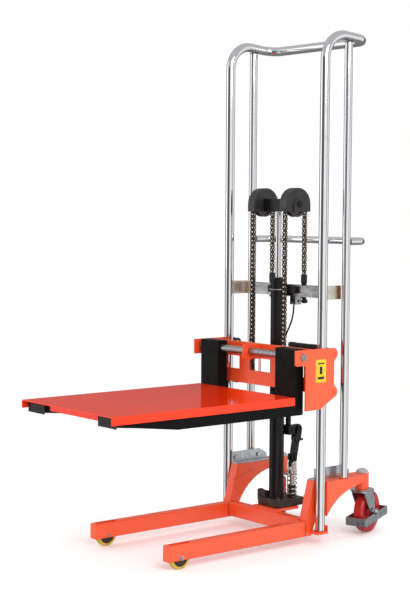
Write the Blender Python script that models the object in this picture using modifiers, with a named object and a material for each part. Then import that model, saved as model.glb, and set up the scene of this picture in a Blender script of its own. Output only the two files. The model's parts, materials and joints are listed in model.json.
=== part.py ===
"""Walkie stacker: hand-pumped platform stacker with a chromed tube mast.

Metres, +Z up. X is across the machine (+X is the operator's left), the forks point to -Y and the
operator stands at +Y. The floor is z = 0 and the origin is under the middle of the whole machine.
Places along Y are given from the axis of the front mast posts and moved by MAST_Y.
"""
import math

import bmesh
import bpy
from mathutils import Matrix, Vector

# --- mast and handles ---------------------------------------------------------------------
POST_X = 0.245
FRONT_POST_R = 0.0163
REAR_POST_R = 0.014
REAR_POST_Y = 0.110
MAST_BEND_R = 0.085
MAST_BEND_TOP_Z = 1.7405
TOP_HANDLE_Y = 0.200
TOP_HANDLE_DROP = math.radians(5)
HANDLE_CORNER_R = 0.050
PUSH_HANDLE_Z = 1.041
PUSH_HANDLE_Y = 0.2124
PUSH_HANDLE_R = 0.0125
FRONT_POST_FOOT_Z = 0.0483

# --- base ---------------------------------------------------------------------------------
LEG_IN = 0.1845
LEG_OUT = 0.2185
LEG_TIP_Y = -0.6365
LEG_REAR_Y = -0.0415
LEG_Z = (0.029, 0.082)
BEAM_Y = (-0.048, -0.012)
BEAM_Z = (0.034, 0.086)
LOAD_ROLLER_Y = -0.583
LOAD_ROLLER_R = 0.0375
LOAD_ROLLER_W = 0.021
ARM_OUT = 0.2620
ARM_TOP_Z = 0.2190
ARM_UNDER_Z = 0.1900
ARM_TAPER_Y = 0.150
ARM_ARCH = [(-0.014, LEG_Z[0] + 0.002), (0.026, 0.168), (0.165, ARM_UNDER_Z)]
STEM_X = 0.212
STEM_Y = 0.238
STEM_R = 0.0235
STEM_Z = (0.1628, 0.2196)

# --- swivel casters -----------------------------------------------------------------------
CASTER_R = 0.075
CASTER_W = 0.036
CASTER_TRAIL = 0.040
CASTER_YAW = {"left": math.radians(18), "right": math.radians(226)}
GUARD_HALF = (0.039, 0.090)
GUARD_Z = (-0.0315, 0.029)
GUARD_TILT = math.radians(6)
GUARD_WALL = 0.003

# --- hydraulics ---------------------------------------------------------------------------
RAM_Y = 0.0185
CYLINDER_R = 0.0260
CYLINDER_BORE_R = 0.0208
PISTON_R = 0.0202
CYLINDER_Z = (0.124, 0.9085)
ROD_R = 0.010
ROD_Z = (0.3215, 1.1417)
BLOCK_X = 0.056
BLOCK_Y = (-0.022, 0.108)
BLOCK_Z = (0.0958, 0.1236)
PUMP_X = 0.012
PUMP_Y = 0.084
PUMP_PIVOT = (0.063, 0.365)
PUMP_EYE = (0.108, 0.365)
PUMP_PIN = (0.084, 0.239)
PIN_R = 0.006
PIN_BORE_R = 0.0064
GRIP_Y_Z = (0.132, 0.661)
GRIP_X = (-0.060, 0.085)
SPRING_Z = (0.1240, 0.2030)
SPRING_WIRE_R = 0.0026
SPRING_R = 0.0172
VALVE = (-0.035, 0.075)

# --- chains -------------------------------------------------------------------------------
SHEAVE_X = 0.0833
GUARD_X = (0.0655, 0.1011)
GUARD_SHEET = 0.0030
SHEAVE_Z = 1.168
CHAIN_PITCH_R = 0.0465
CHAIN_W = 0.016
CHAIN_H = 0.0145
FRONT_CHAIN_FOOT_Z = 0.578
REAR_CHAIN_FOOT_Z = 0.922
CROSS_Y = (0.0472, 0.0850)
CROSS_Z = (0.8445, 0.8845)
TIE_Z = (0.842, 0.889)
TIE_X = (0.2215, 0.2280)

# --- carriage, forks and deck -------------------------------------------------------------
PLATE_X = (0.2645, 0.2705)
CARRIAGE_TOP_Z = 0.680
CARRIAGE_Y = (-0.065, -0.059)
FORK_ROD = (-0.110, 0.655)
FORK_ROD_R = 0.0125
GUIDE_Y = 0.0338
GUIDE_Z = {"upper": 0.660, "lower": 0.530}
FORK_X = (0.151, 0.247)
FORK_TIP_Y = -0.861
SHANK_Y = (-0.130, -0.088)
FORK_TOP_Z = 0.5167
FORK_WALL = 0.006
DECK_X = 0.2535
DECK_Y = (-0.884, -0.1305)
DECK_Z = 0.520
DECK_SHEET = 0.003
DECK_FLANGE = 0.0272

# --- release ------------------------------------------------------------------------------
RELEASE_X = 0.040
RELEASE_PIVOT = (0.066, 0.828)
CABLE_R = 0.003
CABLE_ROUTE = [(0.040, 0.058, 0.8140), (0.033, 0.062, 0.785), (0.019, 0.065, 0.750), (-0.010, 0.067, 0.700),
               (-0.029, 0.067, 0.640), (-0.035, 0.067, 0.560), (-0.034, 0.068, 0.420), (-0.034, 0.070, 0.280),
               (-0.035, 0.073, 0.190), (-0.035, 0.075, 0.1408)]

GAP = 0.0003
SIDES = {"left": 1, "right": -1}


def guard_rear_reach():
    """Furthest distance behind the front posts of the left caster's guard loop."""
    yaw = CASTER_YAW["left"]
    reach = CASTER_TRAIL + GUARD_HALF[1] * math.cos(GUARD_TILT) + abs(GUARD_Z[0]) * math.sin(GUARD_TILT)
    return STEM_Y + reach * math.cos(yaw) + GUARD_HALF[0] * math.sin(yaw)


MAST_Y = (-DECK_Y[0] - guard_rear_reach()) / 2


# ------------------------------------------------------------------------------------------
# scene set-up
# ------------------------------------------------------------------------------------------
for old in list(bpy.data.objects):
    bpy.data.objects.remove(old, do_unlink=True)

PARTS = bpy.data.collections.new("walkie_stacker")
CUTTERS = bpy.data.collections.new("walkie_stacker_cutters")
bpy.context.scene.collection.children.link(PARTS)
bpy.context.scene.collection.children.link(CUTTERS)

MATERIALS = {
    "orange_paint": ((0.80, 0.10, 0.03), 0.35, 0.0),
    "deck_paint": ((0.75, 0.03, 0.01), 0.20, 0.0),
    "black_paint": ((0.012, 0.012, 0.013), 0.40, 0.0),
    "chrome": ((0.75, 0.75, 0.76), 0.10, 1.0),
    "zinc": ((0.62, 0.64, 0.64), 0.35, 1.0),
    "steel": ((0.45, 0.45, 0.46), 0.35, 1.0),
    "chain_steel": ((0.09, 0.08, 0.07), 0.40, 0.8),
    "cast_iron": ((0.035, 0.030, 0.026), 0.55, 0.3),
    "red_polyurethane": ((0.42, 0.015, 0.015), 0.35, 0.0),
    "amber_polyurethane": ((0.60, 0.38, 0.06), 0.40, 0.0),
    "grey_plastic": ((0.42, 0.40, 0.44), 0.45, 0.0),
    "black_plastic": ((0.015, 0.015, 0.015), 0.55, 0.0),
}


def material(name):
    """The Principled material of that name, made at its first use."""
    made = bpy.data.materials.get(name)
    if made:
        return made
    colour, roughness, metallic = MATERIALS[name]
    made = bpy.data.materials.new(name)
    made.use_nodes = True
    shader = made.node_tree.nodes["Principled BSDF"]
    shader.inputs["Base Color"].default_value = (*colour, 1)
    shader.inputs["Roughness"].default_value = roughness
    shader.inputs["Metallic"].default_value = metallic
    made.diffuse_color = (*colour, 1)
    return made


def at(x, y, z):
    """A world point from a place given from the front posts' axis."""
    return Vector((x, MAST_Y + y, z))


BODIES = {}


def body(name, place=Vector(), yaw=0.0):
    """An empty on the joint of a moving body, or at the origin for the frame."""
    empty = bpy.data.objects.new("joint_" + name, None)
    empty.empty_display_size = 0.05
    empty.matrix_basis = Matrix.Translation(place) @ Matrix.Rotation(yaw, 4, "Z")
    PARTS.objects.link(empty)
    BODIES[name] = empty
    return empty.matrix_basis.copy()


def add(name, data, owner, finish, base=None, smooth=True):
    """Links an object: a part of a body, or a cutter when it has no finish."""
    obj = bpy.data.objects.new(name, data)
    obj.matrix_basis = base or Matrix()
    if finish is None:
        CUTTERS.objects.link(obj)
        obj.hide_render = True
        obj.display_type = "WIRE"
        return obj
    PARTS.objects.link(obj)
    data.materials.append(material(finish))
    parent = BODIES[owner]
    obj.parent = parent
    obj.matrix_parent_inverse = parent.matrix_basis.inverted()
    if smooth and data.id_type == "MESH":
        data.shade_smooth()
        data.set_sharp_from_angle(angle=math.radians(35))
    return obj


# ------------------------------------------------------------------------------------------
# shapes
# ------------------------------------------------------------------------------------------
def bevel(obj, width, segments=1):
    mod = obj.modifiers.new("edges", "BEVEL")
    mod.width = width
    mod.segments = segments
    mod.limit_method = "ANGLE"
    mod.angle_limit = math.radians(40)
    return obj


def combine(obj, tools, operation):
    for tool in tools:
        mod = obj.modifiers.new(tool.name, "BOOLEAN")
        mod.object = tool
        mod.operation = operation
        mod.solver = "EXACT"
    return obj


def cut(obj, *tools):
    return combine(obj, tools, "DIFFERENCE")


def join(obj, *tools):
    return combine(obj, tools, "UNION")


def box(name, xs, ys, zs, owner=None, finish=None, base=None, edge=0.0):
    """A box between two X, two Y and two Z values."""
    bm = bmesh.new()
    bmesh.ops.create_cube(bm, size=1.0)
    low = Vector((min(xs), min(ys), min(zs)))
    high = Vector((max(xs), max(ys), max(zs)))
    bmesh.ops.scale(bm, vec=high - low, verts=bm.verts)
    bmesh.ops.translate(bm, vec=(low + high) / 2, verts=bm.verts)
    mesh = bpy.data.meshes.new(name)
    bm.to_mesh(mesh)
    bm.free()
    obj = add(name, mesh, owner, finish, base, smooth=False)
    return bevel(obj, edge) if edge else obj


def mast_box(name, xs, ys, zs, owner=None, finish=None, edge=0.0):
    """A box whose Y values are given from the front posts' axis."""
    return box(name, xs, [MAST_Y + y for y in ys], zs, owner, finish, edge=edge)


TURN_X = Matrix.Rotation(math.pi / 2, 4, "Y")
TURN_Y = Matrix.Rotation(-math.pi / 2, 4, "X")
AXES = {"X": TURN_X, "Y": TURN_Y, "Z": Matrix()}


def rod(name, centre, radius, length, axis="Z", owner=None, finish=None, base=None, sides=16, edge=0.0):
    """A solid cylinder about a line along one axis."""
    bm = bmesh.new()
    bmesh.ops.create_cone(bm, cap_ends=True, segments=sides, radius1=radius, radius2=radius, depth=length)
    mesh = bpy.data.meshes.new(name)
    bm.to_mesh(mesh)
    bm.free()
    place = (base or Matrix()) @ Matrix.Translation(centre) @ AXES[axis]
    obj = add(name, mesh, owner, finish, place)
    return bevel(obj, edge) if edge else obj


def lathe(name, profile, centre, owner=None, finish=None, axis="Z", base=None, steps=20):
    """Turns (radius, height) points about an axis; a profile that misses the axis closes on itself."""
    mesh = bpy.data.meshes.new(name)
    points = [(radius, 0, height) for radius, height in profile]
    edges = [(i, i + 1) for i in range(len(points) - 1)]
    if profile[0][0] > 0:
        edges.append((len(points) - 1, 0))
    mesh.from_pydata(points, edges, [])
    place = (base or Matrix()) @ Matrix.Translation(centre) @ AXES[axis]
    obj = add(name, mesh, owner, finish, place, smooth=False)
    screw = obj.modifiers.new("turn", "SCREW")
    screw.angle = 2 * math.pi
    screw.steps = steps
    screw.render_steps = steps
    screw.use_merge_vertices = True
    screw.merge_threshold = 0.00001
    screw.use_smooth_shade = True
    return obj


def path_points(corners, radii, steps=6):
    """A line through corners, each inner corner rounded by an arc of its own radius."""
    points = [Vector(corners[0])]
    for before, here, after, radius in zip(corners, corners[1:], corners[2:], radii):
        here = Vector(here)
        back = (Vector(before) - here).normalized()
        ahead = (Vector(after) - here).normalized()
        half = back.angle(ahead) / 2
        centre = here + (back + ahead).normalized() * radius / math.sin(half)
        start = here + back * radius / math.tan(half) - centre
        end = here + ahead * radius / math.tan(half) - centre
        sweep = start.angle(end)
        for step in range(steps + 1):
            part = step / steps
            mix = start * math.sin((1 - part) * sweep) + end * math.sin(part * sweep)
            points.append(centre + mix / math.sin(sweep))
    points.append(Vector(corners[-1]))
    return points


def tube(name, points, radius, owner=None, finish=None, sides_setting=4, base=None):
    """A round tube along a line of points, with filled ends, as a welded mesh."""
    curve = bpy.data.curves.new(name, "CURVE")
    curve.dimensions = "3D"
    curve.bevel_depth = radius
    curve.bevel_resolution = sides_setting
    curve.use_fill_caps = True
    spline = curve.splines.new("POLY")
    spline.points.add(len(points) - 1)
    for item, point in zip(spline.points, points):
        item.co = (*point, 1)
    return mesh_from_curve(name, curve, owner, finish, base)


def arc(centre, radius, start, end, steps=6):
    """Points on an arc, with its angles in degrees."""
    turns = [math.radians(start + (end - start) * i / steps) for i in range(steps + 1)]
    return [(centre[0] + radius * math.cos(turn), centre[1] + radius * math.sin(turn)) for turn in turns]


def plate(name, outline, across, owner=None, finish=None, plane="YZ", base=None, holes=()):
    """A flat outline given thickness: YZ outlines are thick along X, XY outlines along Z."""
    curve = bpy.data.curves.new(name, "CURVE")
    curve.dimensions = "2D"
    curve.fill_mode = "BOTH"
    curve.extrude = abs(across[1] - across[0]) / 2
    for loop in [outline, *holes]:
        spline = curve.splines.new("POLY")
        spline.points.add(len(loop) - 1)
        for item, (u, v) in zip(spline.points, loop):
            item.co = (u, v, 0, 1)
        spline.use_cyclic_u = True
    middle = sum(across) / 2
    if plane == "YZ":
        turn = Matrix(((0, 0, 1, middle), (1, 0, 0, 0), (0, 1, 0, 0), (0, 0, 0, 1)))
    else:
        turn = Matrix.Translation((0, 0, middle))
    return mesh_from_curve(name, curve, owner, finish, (base or Matrix()) @ turn)


def mesh_from_curve(name, curve, owner, finish, place):
    """Turns a curve into a mesh with welded caps and links it."""
    source = bpy.data.objects.new(name + "_curve", curve)
    bpy.context.scene.collection.objects.link(source)
    graph = bpy.context.evaluated_depsgraph_get()
    mesh = bpy.data.meshes.new_from_object(source.evaluated_get(graph))
    bpy.data.objects.remove(source, do_unlink=True)
    bpy.data.curves.remove(curve)
    bm = bmesh.new()
    bm.from_mesh(mesh)
    bmesh.ops.remove_doubles(bm, verts=bm.verts, dist=0.00001)
    bmesh.ops.recalc_face_normals(bm, faces=bm.faces)
    bm.to_mesh(mesh)
    bm.free()
    mesh.materials.clear()
    mesh.name = name
    return add(name, mesh, owner, finish, place)


def mast_plate(name, outline, across, owner=None, finish=None, holes=()):
    """A YZ outline whose Y values are given from the front posts' axis."""
    shift = Matrix.Translation((0, MAST_Y, 0))
    return plate(name, outline, across, owner, finish, base=shift, holes=holes)


def span(side, pair):
    """Mirrors a pair of X values to one side of the machine."""
    return sorted(SIDES[side] * value for value in pair)


# ------------------------------------------------------------------------------------------
# base frame
# ------------------------------------------------------------------------------------------
def build_leg(side):
    across = span(side, (LEG_IN, LEG_OUT))
    leg = mast_box(f"leg_{side}", across, (LEG_TIP_Y, LEG_REAR_Y), LEG_Z, "frame", "orange_paint", edge=0.003)
    middle = sum(across) / 2
    slot_half = LOAD_ROLLER_W / 2 + 0.001
    slot = mast_box(f"slot_{side}", (middle - slot_half, middle + slot_half),
                    (LOAD_ROLLER_Y - 0.041, LOAD_ROLLER_Y + 0.041), (0.0, 0.1))
    bore = rod(f"axle_bore_{side}", at(middle, LOAD_ROLLER_Y, LOAD_ROLLER_R), 0.0055, 0.06, "X")
    cut(leg, slot, bore)
    rod(f"roller_axle_{side}", at(middle, LOAD_ROLLER_Y, LOAD_ROLLER_R), 0.005, 0.038, "X", "frame", "steel",
        edge=0.0008)


def build_cross_beam():
    end = LEG_IN - GAP
    beam = mast_box("cross_beam", (-end, end), BEAM_Y, BEAM_Z, "frame", "orange_paint", edge=0.003)
    shelf = mast_box("pump_shelf", (-0.058, 0.058), (BEAM_Y[0] + 0.008, 0.075), (BEAM_Z[1] - 0.0005, BLOCK_Z[0] - GAP))
    join(beam, shelf)


def curve_through(start, bend, end, steps):
    """Points on a quadratic curve that leaves its start towards the bend and arrives from it."""
    points = []
    for step in range(steps + 1):
        t = step / steps
        points.append(tuple((1 - t) ** 2 * a + 2 * t * (1 - t) * b + t * t * c for a, b, c in zip(start, bend, end)))
    return points


def side_outline(side, points):
    """An XY outline on one side of the machine, its Y values given from the front posts' axis."""
    return [(SIDES[side] * x, MAST_Y + y) for x, y in points]


def build_arm(side):
    """Swan-neck box that stands on the leg, carries both posts and narrows to the caster stem."""
    rear = STEM_Y - 0.010
    outline = [(-0.041, LEG_Z[0]), (-0.016, LEG_Z[0]), *curve_through(*ARM_ARCH, 10), (rear, ARM_UNDER_Z),
               (rear, ARM_TOP_Z), (-0.005, ARM_TOP_Z), (-0.041, LEG_Z[1] + 0.001)]
    arm = mast_plate(f"arm_{side}", outline, span(side, (LEG_IN, ARM_OUT)), "frame", "orange_paint")
    front = FRONT_POST_R + 0.0009
    post_notch = mast_box(f"post_notch_{side}", span(side, (LEG_OUT, ARM_OUT + 0.01)), (-0.06, front), (0.01, 0.3))
    narrow = STEM_X + STEM_R
    corners = side_outline(side, [(ARM_OUT + 0.0005, ARM_TAPER_Y), (0.3, ARM_TAPER_Y), (0.3, STEM_Y + 0.03),
                                  (narrow, STEM_Y + 0.03), (narrow, STEM_Y - 0.002)])
    taper = plate(f"taper_{side}", corners, (0.1, 0.3), plane="XY")
    stem = rod(f"stem_{side}", at(SIDES[side] * STEM_X, STEM_Y, sum(STEM_Z) / 2), STEM_R, STEM_Z[1] - STEM_Z[0],
               sides=24)
    across = span(side, (LEG_OUT - 0.001, ARM_OUT + 0.002))
    seat = mast_box(f"post_seat_{side}", across, (-0.028, front + 0.0038), (0.040, FRONT_POST_FOOT_Z - GAP))
    upstand = mast_box(f"seat_back_{side}", across, (front + 0.0003, front + 0.0038), (0.0475, 0.0675))
    cut(arm, post_notch, taper)
    join(arm, stem, seat, upstand)
    bevel(arm, 0.002)


def build_post_bracket(side):
    """Bolted angle on the flat top of an arm, with its wall beside the two posts."""
    front, rear, foot_top, wall_top = -0.004, 0.165, ARM_TOP_Z + 0.0045, 0.260
    bracket = mast_box(f"post_bracket_{side}", span(side, (0.1880, LEG_OUT)), (front, rear),
                       (ARM_TOP_Z + GAP, foot_top), "frame", "zinc")
    wall = [(front, foot_top - 0.001), (rear, foot_top - 0.001), (rear, wall_top - 0.020), (rear - 0.035, wall_top),
            (front, wall_top)]
    upright = mast_plate(f"bracket_wall_{side}", wall, span(side, (LEG_OUT - 0.004, LEG_OUT)))
    bolts = [rod(f"bracket_bolt_{side}_{i}", at(SIDES[side] * (LEG_OUT - 0.0065), y, 0.239), 0.0075, 0.007, "X",
                 sides=6) for i, y in enumerate((0.010, 0.120))]
    join(bracket, upright, *bolts)


def build_stem_cap(side):
    top = STEM_Z[1] + GAP
    profile = [(0, 0.0150), (0.011, 0.0142), (0.018, 0.0110), (0.0218, 0.0060), (0.0232, 0), (0, 0)]
    lathe(f"stem_cap_{side}", profile, at(SIDES[side] * STEM_X, STEM_Y, top), "frame", "grey_plastic")


# ------------------------------------------------------------------------------------------
# mast
# ------------------------------------------------------------------------------------------
def build_mast():
    """One tube: up a front post, back over the top as a handle, and down the other post."""
    corner_z = MAST_BEND_TOP_Z + MAST_BEND_R * (1 / math.cos(TOP_HANDLE_DROP) - 1)
    corner_z += MAST_BEND_R * math.tan(TOP_HANDLE_DROP)
    handle_z = corner_z - TOP_HANDLE_Y * math.tan(TOP_HANDLE_DROP)
    right = [at(-POST_X, 0, FRONT_POST_FOOT_Z), at(-POST_X, 0, corner_z), at(-POST_X, TOP_HANDLE_Y, handle_z)]
    left = [Vector((-point.x, point.y, point.z)) for point in reversed(right)]
    radii = [MAST_BEND_R, HANDLE_CORNER_R, HANDLE_CORNER_R, MAST_BEND_R]
    tube("mast_tube", path_points(right + left, radii), FRONT_POST_R, "frame", "chrome")


def build_rear_post(side):
    top = MAST_BEND_TOP_Z - FRONT_POST_R - 0.0037
    x = SIDES[side] * POST_X
    foot = ARM_TOP_Z + GAP
    tube(f"rear_post_{side}", [at(x, REAR_POST_Y, foot), at(x, REAR_POST_Y, top)], REAR_POST_R, "frame", "chrome")


def build_push_handle():
    start = REAR_POST_Y + REAR_POST_R + GAP
    corners = [at(-POST_X, start, PUSH_HANDLE_Z), at(-POST_X, PUSH_HANDLE_Y, PUSH_HANDLE_Z),
               at(POST_X, PUSH_HANDLE_Y, PUSH_HANDLE_Z), at(POST_X, start, PUSH_HANDLE_Z)]
    tube("push_handle", path_points(corners, [HANDLE_CORNER_R] * 2), PUSH_HANDLE_R, "frame", "chrome")


def build_cross_frame():
    """Channel between the posts that holds the chains, the cylinder and the release lever."""
    end = TIE_X[0] + 0.0005
    channel = mast_box("cross_frame", (-end, end), CROSS_Y, CROSS_Z, "frame", "steel")
    wall = 0.003
    hollow = mast_box("channel_hollow", (-TIE_X[0] + 0.006, TIE_X[0] - 0.006), (CROSS_Y[0] + wall, CROSS_Y[1] + 0.01),
                      (CROSS_Z[0] + wall, CROSS_Z[1] - wall))
    ties = [mast_box(f"tie_{side}", span(side, TIE_X), (0.004, 0.104), TIE_Z) for side in SIDES]
    chain_y = RAM_Y + CHAIN_PITCH_R
    stud_holes = [rod(f"stud_hole_{side}", at(SIDES[side] * SHEAVE_X, chain_y, CROSS_Z[0]), 0.0060, 0.12)
                  for side in SIDES]
    bracket = mast_box("release_bracket", (RELEASE_X - 0.014, RELEASE_X + 0.014), (0.052, 0.080),
                       (0.815, CROSS_Z[0] + 0.0005))
    slot = mast_box("release_slot", (RELEASE_X - 0.0055, RELEASE_X + 0.0055), (0.0505, 0.090), (0.810, 0.8410))
    pin_hole = rod("release_pin_hole", at(RELEASE_X, *RELEASE_PIVOT), 0.0044, 0.05, "X")
    cut(channel, hollow)
    join(channel, *ties, bracket)
    cut(channel, *stud_holes, slot, pin_hole)


def build_chain_anchor(side):
    """Stud, two nuts and end clevis that hold the rear run of a chain."""
    x = SIDES[side] * SHEAVE_X
    y = RAM_Y + CHAIN_PITCH_R
    stud = rod(f"chain_anchor_{side}", at(x, y, 0.8625), 0.0055, 0.063, "Z", "frame", "black_paint", sides=12)
    nuts = [rod(f"anchor_nut_{side}_{i}", at(x, y, z), 0.0095, 0.0075, sides=6)
            for i, z in enumerate((CROSS_Z[1] + GAP + 0.00375, CROSS_Z[0] - GAP - 0.00375))]
    clevis = mast_box(f"anchor_clevis_{side}", (x - 0.008, x + 0.008), (y - 0.0075, y + 0.0075),
                      (0.8915, REAR_CHAIN_FOOT_Z - GAP))
    join(stud, *nuts, clevis)


# ------------------------------------------------------------------------------------------
# cylinder, ram and chains
# ------------------------------------------------------------------------------------------
def build_cylinder():
    """Closed-end tube with its screwed gland, open only where the rod comes out."""
    bottom, top = CYLINDER_Z
    neck, gland = ROD_R + 0.0004, CYLINDER_R + 0.0018
    profile = [(0, bottom + 0.011), (CYLINDER_BORE_R, bottom + 0.011), (CYLINDER_BORE_R, top - 0.024),
               (neck, top - 0.024), (neck, top), (gland - 0.002, top), (gland, top - 0.002), (gland, top - 0.036),
               (CYLINDER_R, top - 0.038), (CYLINDER_R, bottom), (0, bottom)]
    lathe("lift_cylinder", profile, at(0, RAM_Y, 0), "frame", "black_paint", steps=24)


def build_pump_block():
    """Cast base of the pump and cylinder, with the pump barrel, the valve boss and the relief valve."""
    block = mast_box("pump_block", (-BLOCK_X, BLOCK_X), BLOCK_Y, BLOCK_Z, "frame", "cast_iron", edge=0.004)
    barrel = rod("pump_barrel", at(PUMP_X, PUMP_Y, 0.1435), 0.0135, 0.043, sides=20)
    valve = rod("valve_boss", at(*VALVE, 0.1300), 0.009, 0.021, sides=12)
    bore = rod("pump_bore", at(PUMP_X, PUMP_Y, 0.1500), 0.0097, 0.045, sides=20)
    relief = lathe("relief_valve", [(0, 0.150), (0.0085, 0.149), (0.0125, 0.145), (0.0125, 0.112), (0, 0.112)],
                   at(-BLOCK_X - 0.0015, -0.003, 0))
    relief_arm = mast_box("relief_arm", (-BLOCK_X, -0.0265), (-0.012, 0.008), (BLOCK_Z[1] - 0.002, 0.1450))
    join(block, barrel, valve, relief, relief_arm)
    cut(block, bore)


def build_ram():
    profile = [(0, ROD_Z[1]), (ROD_R, ROD_Z[1]), (ROD_R, ROD_Z[0] + 0.030), (PISTON_R, ROD_Z[0] + 0.030),
               (PISTON_R, ROD_Z[0]), (0, ROD_Z[0])]
    lathe("piston_rod", profile, at(0, RAM_Y, 0), "ram", "chrome")
    end = GUARD_X[0] - GAP
    head = mast_box("crosshead", (-end, end), (RAM_Y - 0.0145, RAM_Y + 0.0145), (1.142, 1.187), "ram",
                    "black_paint", edge=0.001)
    pin = rod("sheave_pin", at(0, RAM_Y, SHEAVE_Z), 0.0078, 0.220, "X")
    join(head, pin)


def arch(half, top_centre, bottom, steps=16):
    """Upside-down U outline about the ram's Y, from a half width down to a bottom edge."""
    curve = arc((RAM_Y, top_centre), half, 0, 180, steps)
    return [(RAM_Y + half, bottom), *curve, (RAM_Y - half, bottom)]


def build_sheave(side):
    """Chain wheel and its half-round guard."""
    guard = mast_plate(f"sheave_guard_{side}", arch(0.0570, SHEAVE_Z, 1.142), span(side, GUARD_X), "ram",
                       "black_paint")
    inside = (GUARD_X[0] + GUARD_SHEET, GUARD_X[1] - GUARD_SHEET)
    cavity = mast_plate(f"guard_cavity_{side}", arch(0.0545, SHEAVE_Z, 1.100), span(side, inside))
    lug = mast_plate(f"guard_lug_{side}", arch(0.0245, 1.163, 1.1425, 8), span(side, (0.1003, 0.1068)))
    centre = at(SIDES[side] * SHEAVE_X, RAM_Y, SHEAVE_Z)
    bore = rod(f"guard_bore_{side}", centre, 0.0082, 0.05, "X")
    cut(guard, cavity)
    join(guard, lug)
    cut(guard, bore)
    half, groove = 0.0115, CHAIN_W / 2 + 0.0005
    profile = [(0.0445, -half), (0.0445, -groove), (0.0385, -groove), (0.0385, groove), (0.0445, groove),
               (0.0445, half), (0.0082, half), (0.0082, -half)]
    lathe(f"sheave_{side}", profile[::-1], centre, f"sheave_{side}", "steel", axis="X", steps=24)


def build_chain(side):
    """The two straight runs of one chain, from its anchors up to the sheave."""
    x = SIDES[side] * SHEAVE_X
    runs = {"front": (RAM_Y - CHAIN_PITCH_R, FRONT_CHAIN_FOOT_Z, "ram"),
            "rear": (RAM_Y + CHAIN_PITCH_R, REAR_CHAIN_FOOT_Z, "frame")}
    for run, (y, foot, owner) in runs.items():
        mast_box(f"chain_{run}_{side}", (x - CHAIN_W / 2, x + CHAIN_W / 2), (y - CHAIN_H / 2, y + CHAIN_H / 2),
                 (foot, SHEAVE_Z), owner, "chain_steel")


# ------------------------------------------------------------------------------------------
# carriage, forks and deck
# ------------------------------------------------------------------------------------------
def circle(centre, radius, steps=20):
    return arc(centre, radius, 0, 360, steps)[:-1]


def build_side_plate(side):
    """Cheek of the carriage with two rear lobes whose stub pins carry the guide rollers."""
    ear_y, front_y = -0.145, -0.098
    outline = [(ear_y, CARRIAGE_TOP_Z), (ear_y, 0.631), (ear_y + 0.004, 0.627), (front_y - 0.006, 0.627),
               (front_y, 0.621), (front_y, 0.473), (-0.029, 0.474), (-0.010, 0.485)]
    outline += arc((0.031, GUIDE_Z["lower"]), 0.020, -50, 70, 6)
    outline += [(0.034, 0.556), (0.034, 0.634)]
    outline += arc((0.031, GUIDE_Z["upper"]), 0.020, -60, 90, 8)
    hole = circle(FORK_ROD, FORK_ROD_R + 0.0004)
    cheek = mast_plate(f"side_plate_{side}", outline, span(side, PLATE_X), "carriage", "orange_paint", holes=[hole])
    pins = []
    for level, z in GUIDE_Z.items():
        centre_x = SIDES[side] * (PLATE_X[0] + 0.001 - 0.0155)
        pins.append(rod(f"guide_pin_{level}_{side}", at(centre_x, GUIDE_Y, z), 0.006, 0.031, "X"))
    join(cheek, *pins)


def build_guide_roller(level, side):
    """Waisted roller that runs on the back of a front post."""
    half, waist, rim, bore = 0.0100, 0.0170, 0.0185, 0.0063
    profile = [(bore, half), (rim, half), (waist + 0.0004, 0.004), (waist, 0), (waist + 0.0004, -0.004),
               (rim, -half), (bore, -half)]
    name = f"guide_roller_{level}_{side}"
    lathe(name, profile, at(SIDES[side] * POST_X, GUIDE_Y, GUIDE_Z[level]), name, "black_plastic", axis="X", steps=16)


def build_front_plate():
    """Windowed plate between the cheeks, with the middle rod lug and the chain lugs behind."""
    end = PLATE_X[0] - GAP
    bottom = 0.5325
    front = mast_box("front_plate", (-end, end), CARRIAGE_Y, (bottom, CARRIAGE_TOP_Z), "carriage", "orange_paint")
    through = (CARRIAGE_Y[0] - 0.01, CARRIAGE_Y[1] + 0.01)
    windows = [mast_box(f"window_{i}", xs, through, (0.581, 0.627))
               for i, xs in enumerate(((-0.225, -0.110), (-0.056, 0.056), (0.110, 0.225)))]
    lug_outline = [(-0.145, CARRIAGE_TOP_Z), (-0.145, 0.635), (-0.139, 0.627), (CARRIAGE_Y[0] + 0.0005, 0.627),
                   (CARRIAGE_Y[0] + 0.0005, CARRIAGE_TOP_Z)]
    lug = mast_plate("rod_lug", lug_outline, (-0.003, 0.003))
    rod_hole = rod("lug_hole", at(0, *FORK_ROD), FORK_ROD_R + 0.0004, 0.05, "X", sides=20)
    lug_rear = RAM_Y - CHAIN_PITCH_R + CHAIN_H / 2
    chain_lugs = []
    for side, sign in SIDES.items():
        chain_lugs.append(mast_box(f"chain_lug_{side}", (sign * SHEAVE_X - 0.010, sign * SHEAVE_X + 0.010),
                                   (CARRIAGE_Y[1] - 0.0005, lug_rear), (0.543, FRONT_CHAIN_FOOT_Z - GAP)))
    cut(front, *windows)
    join(front, lug, *chain_lugs)
    cut(front, rod_hole)


def build_fork(side):
    """Folded channel fork: a shank hung on the cross rod and a blade that thins to its tip."""
    outline = [(FORK_TIP_Y, FORK_TOP_Z), (FORK_TIP_Y, 0.4855), (-0.777, 0.4765), (-0.624, 0.4575),
               (SHANK_Y[1], 0.4575), (SHANK_Y[1], 0.682), (SHANK_Y[0], 0.682), (SHANK_Y[0], FORK_TOP_Z)]
    across = span(side, FORK_X)
    inner = span(side, (FORK_X[0] + FORK_WALL, FORK_X[1] - FORK_WALL))
    hole = circle(FORK_ROD, FORK_ROD_R + 0.0004)
    fork = mast_plate(f"fork_{side}", outline, across, "carriage", "black_paint", holes=[hole])
    blade_hollow = mast_box(f"blade_hollow_{side}", inner, (FORK_TIP_Y + FORK_WALL, SHANK_Y[1] - FORK_WALL),
                            (0.440, FORK_TOP_Z - FORK_WALL))
    shank_hollow = mast_box(f"shank_hollow_{side}", inner, (SHANK_Y[0] + FORK_WALL, SHANK_Y[1] + 0.01),
                            (0.520, 0.682 - FORK_WALL))
    cut(fork, blade_hollow, shank_hollow)


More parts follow.
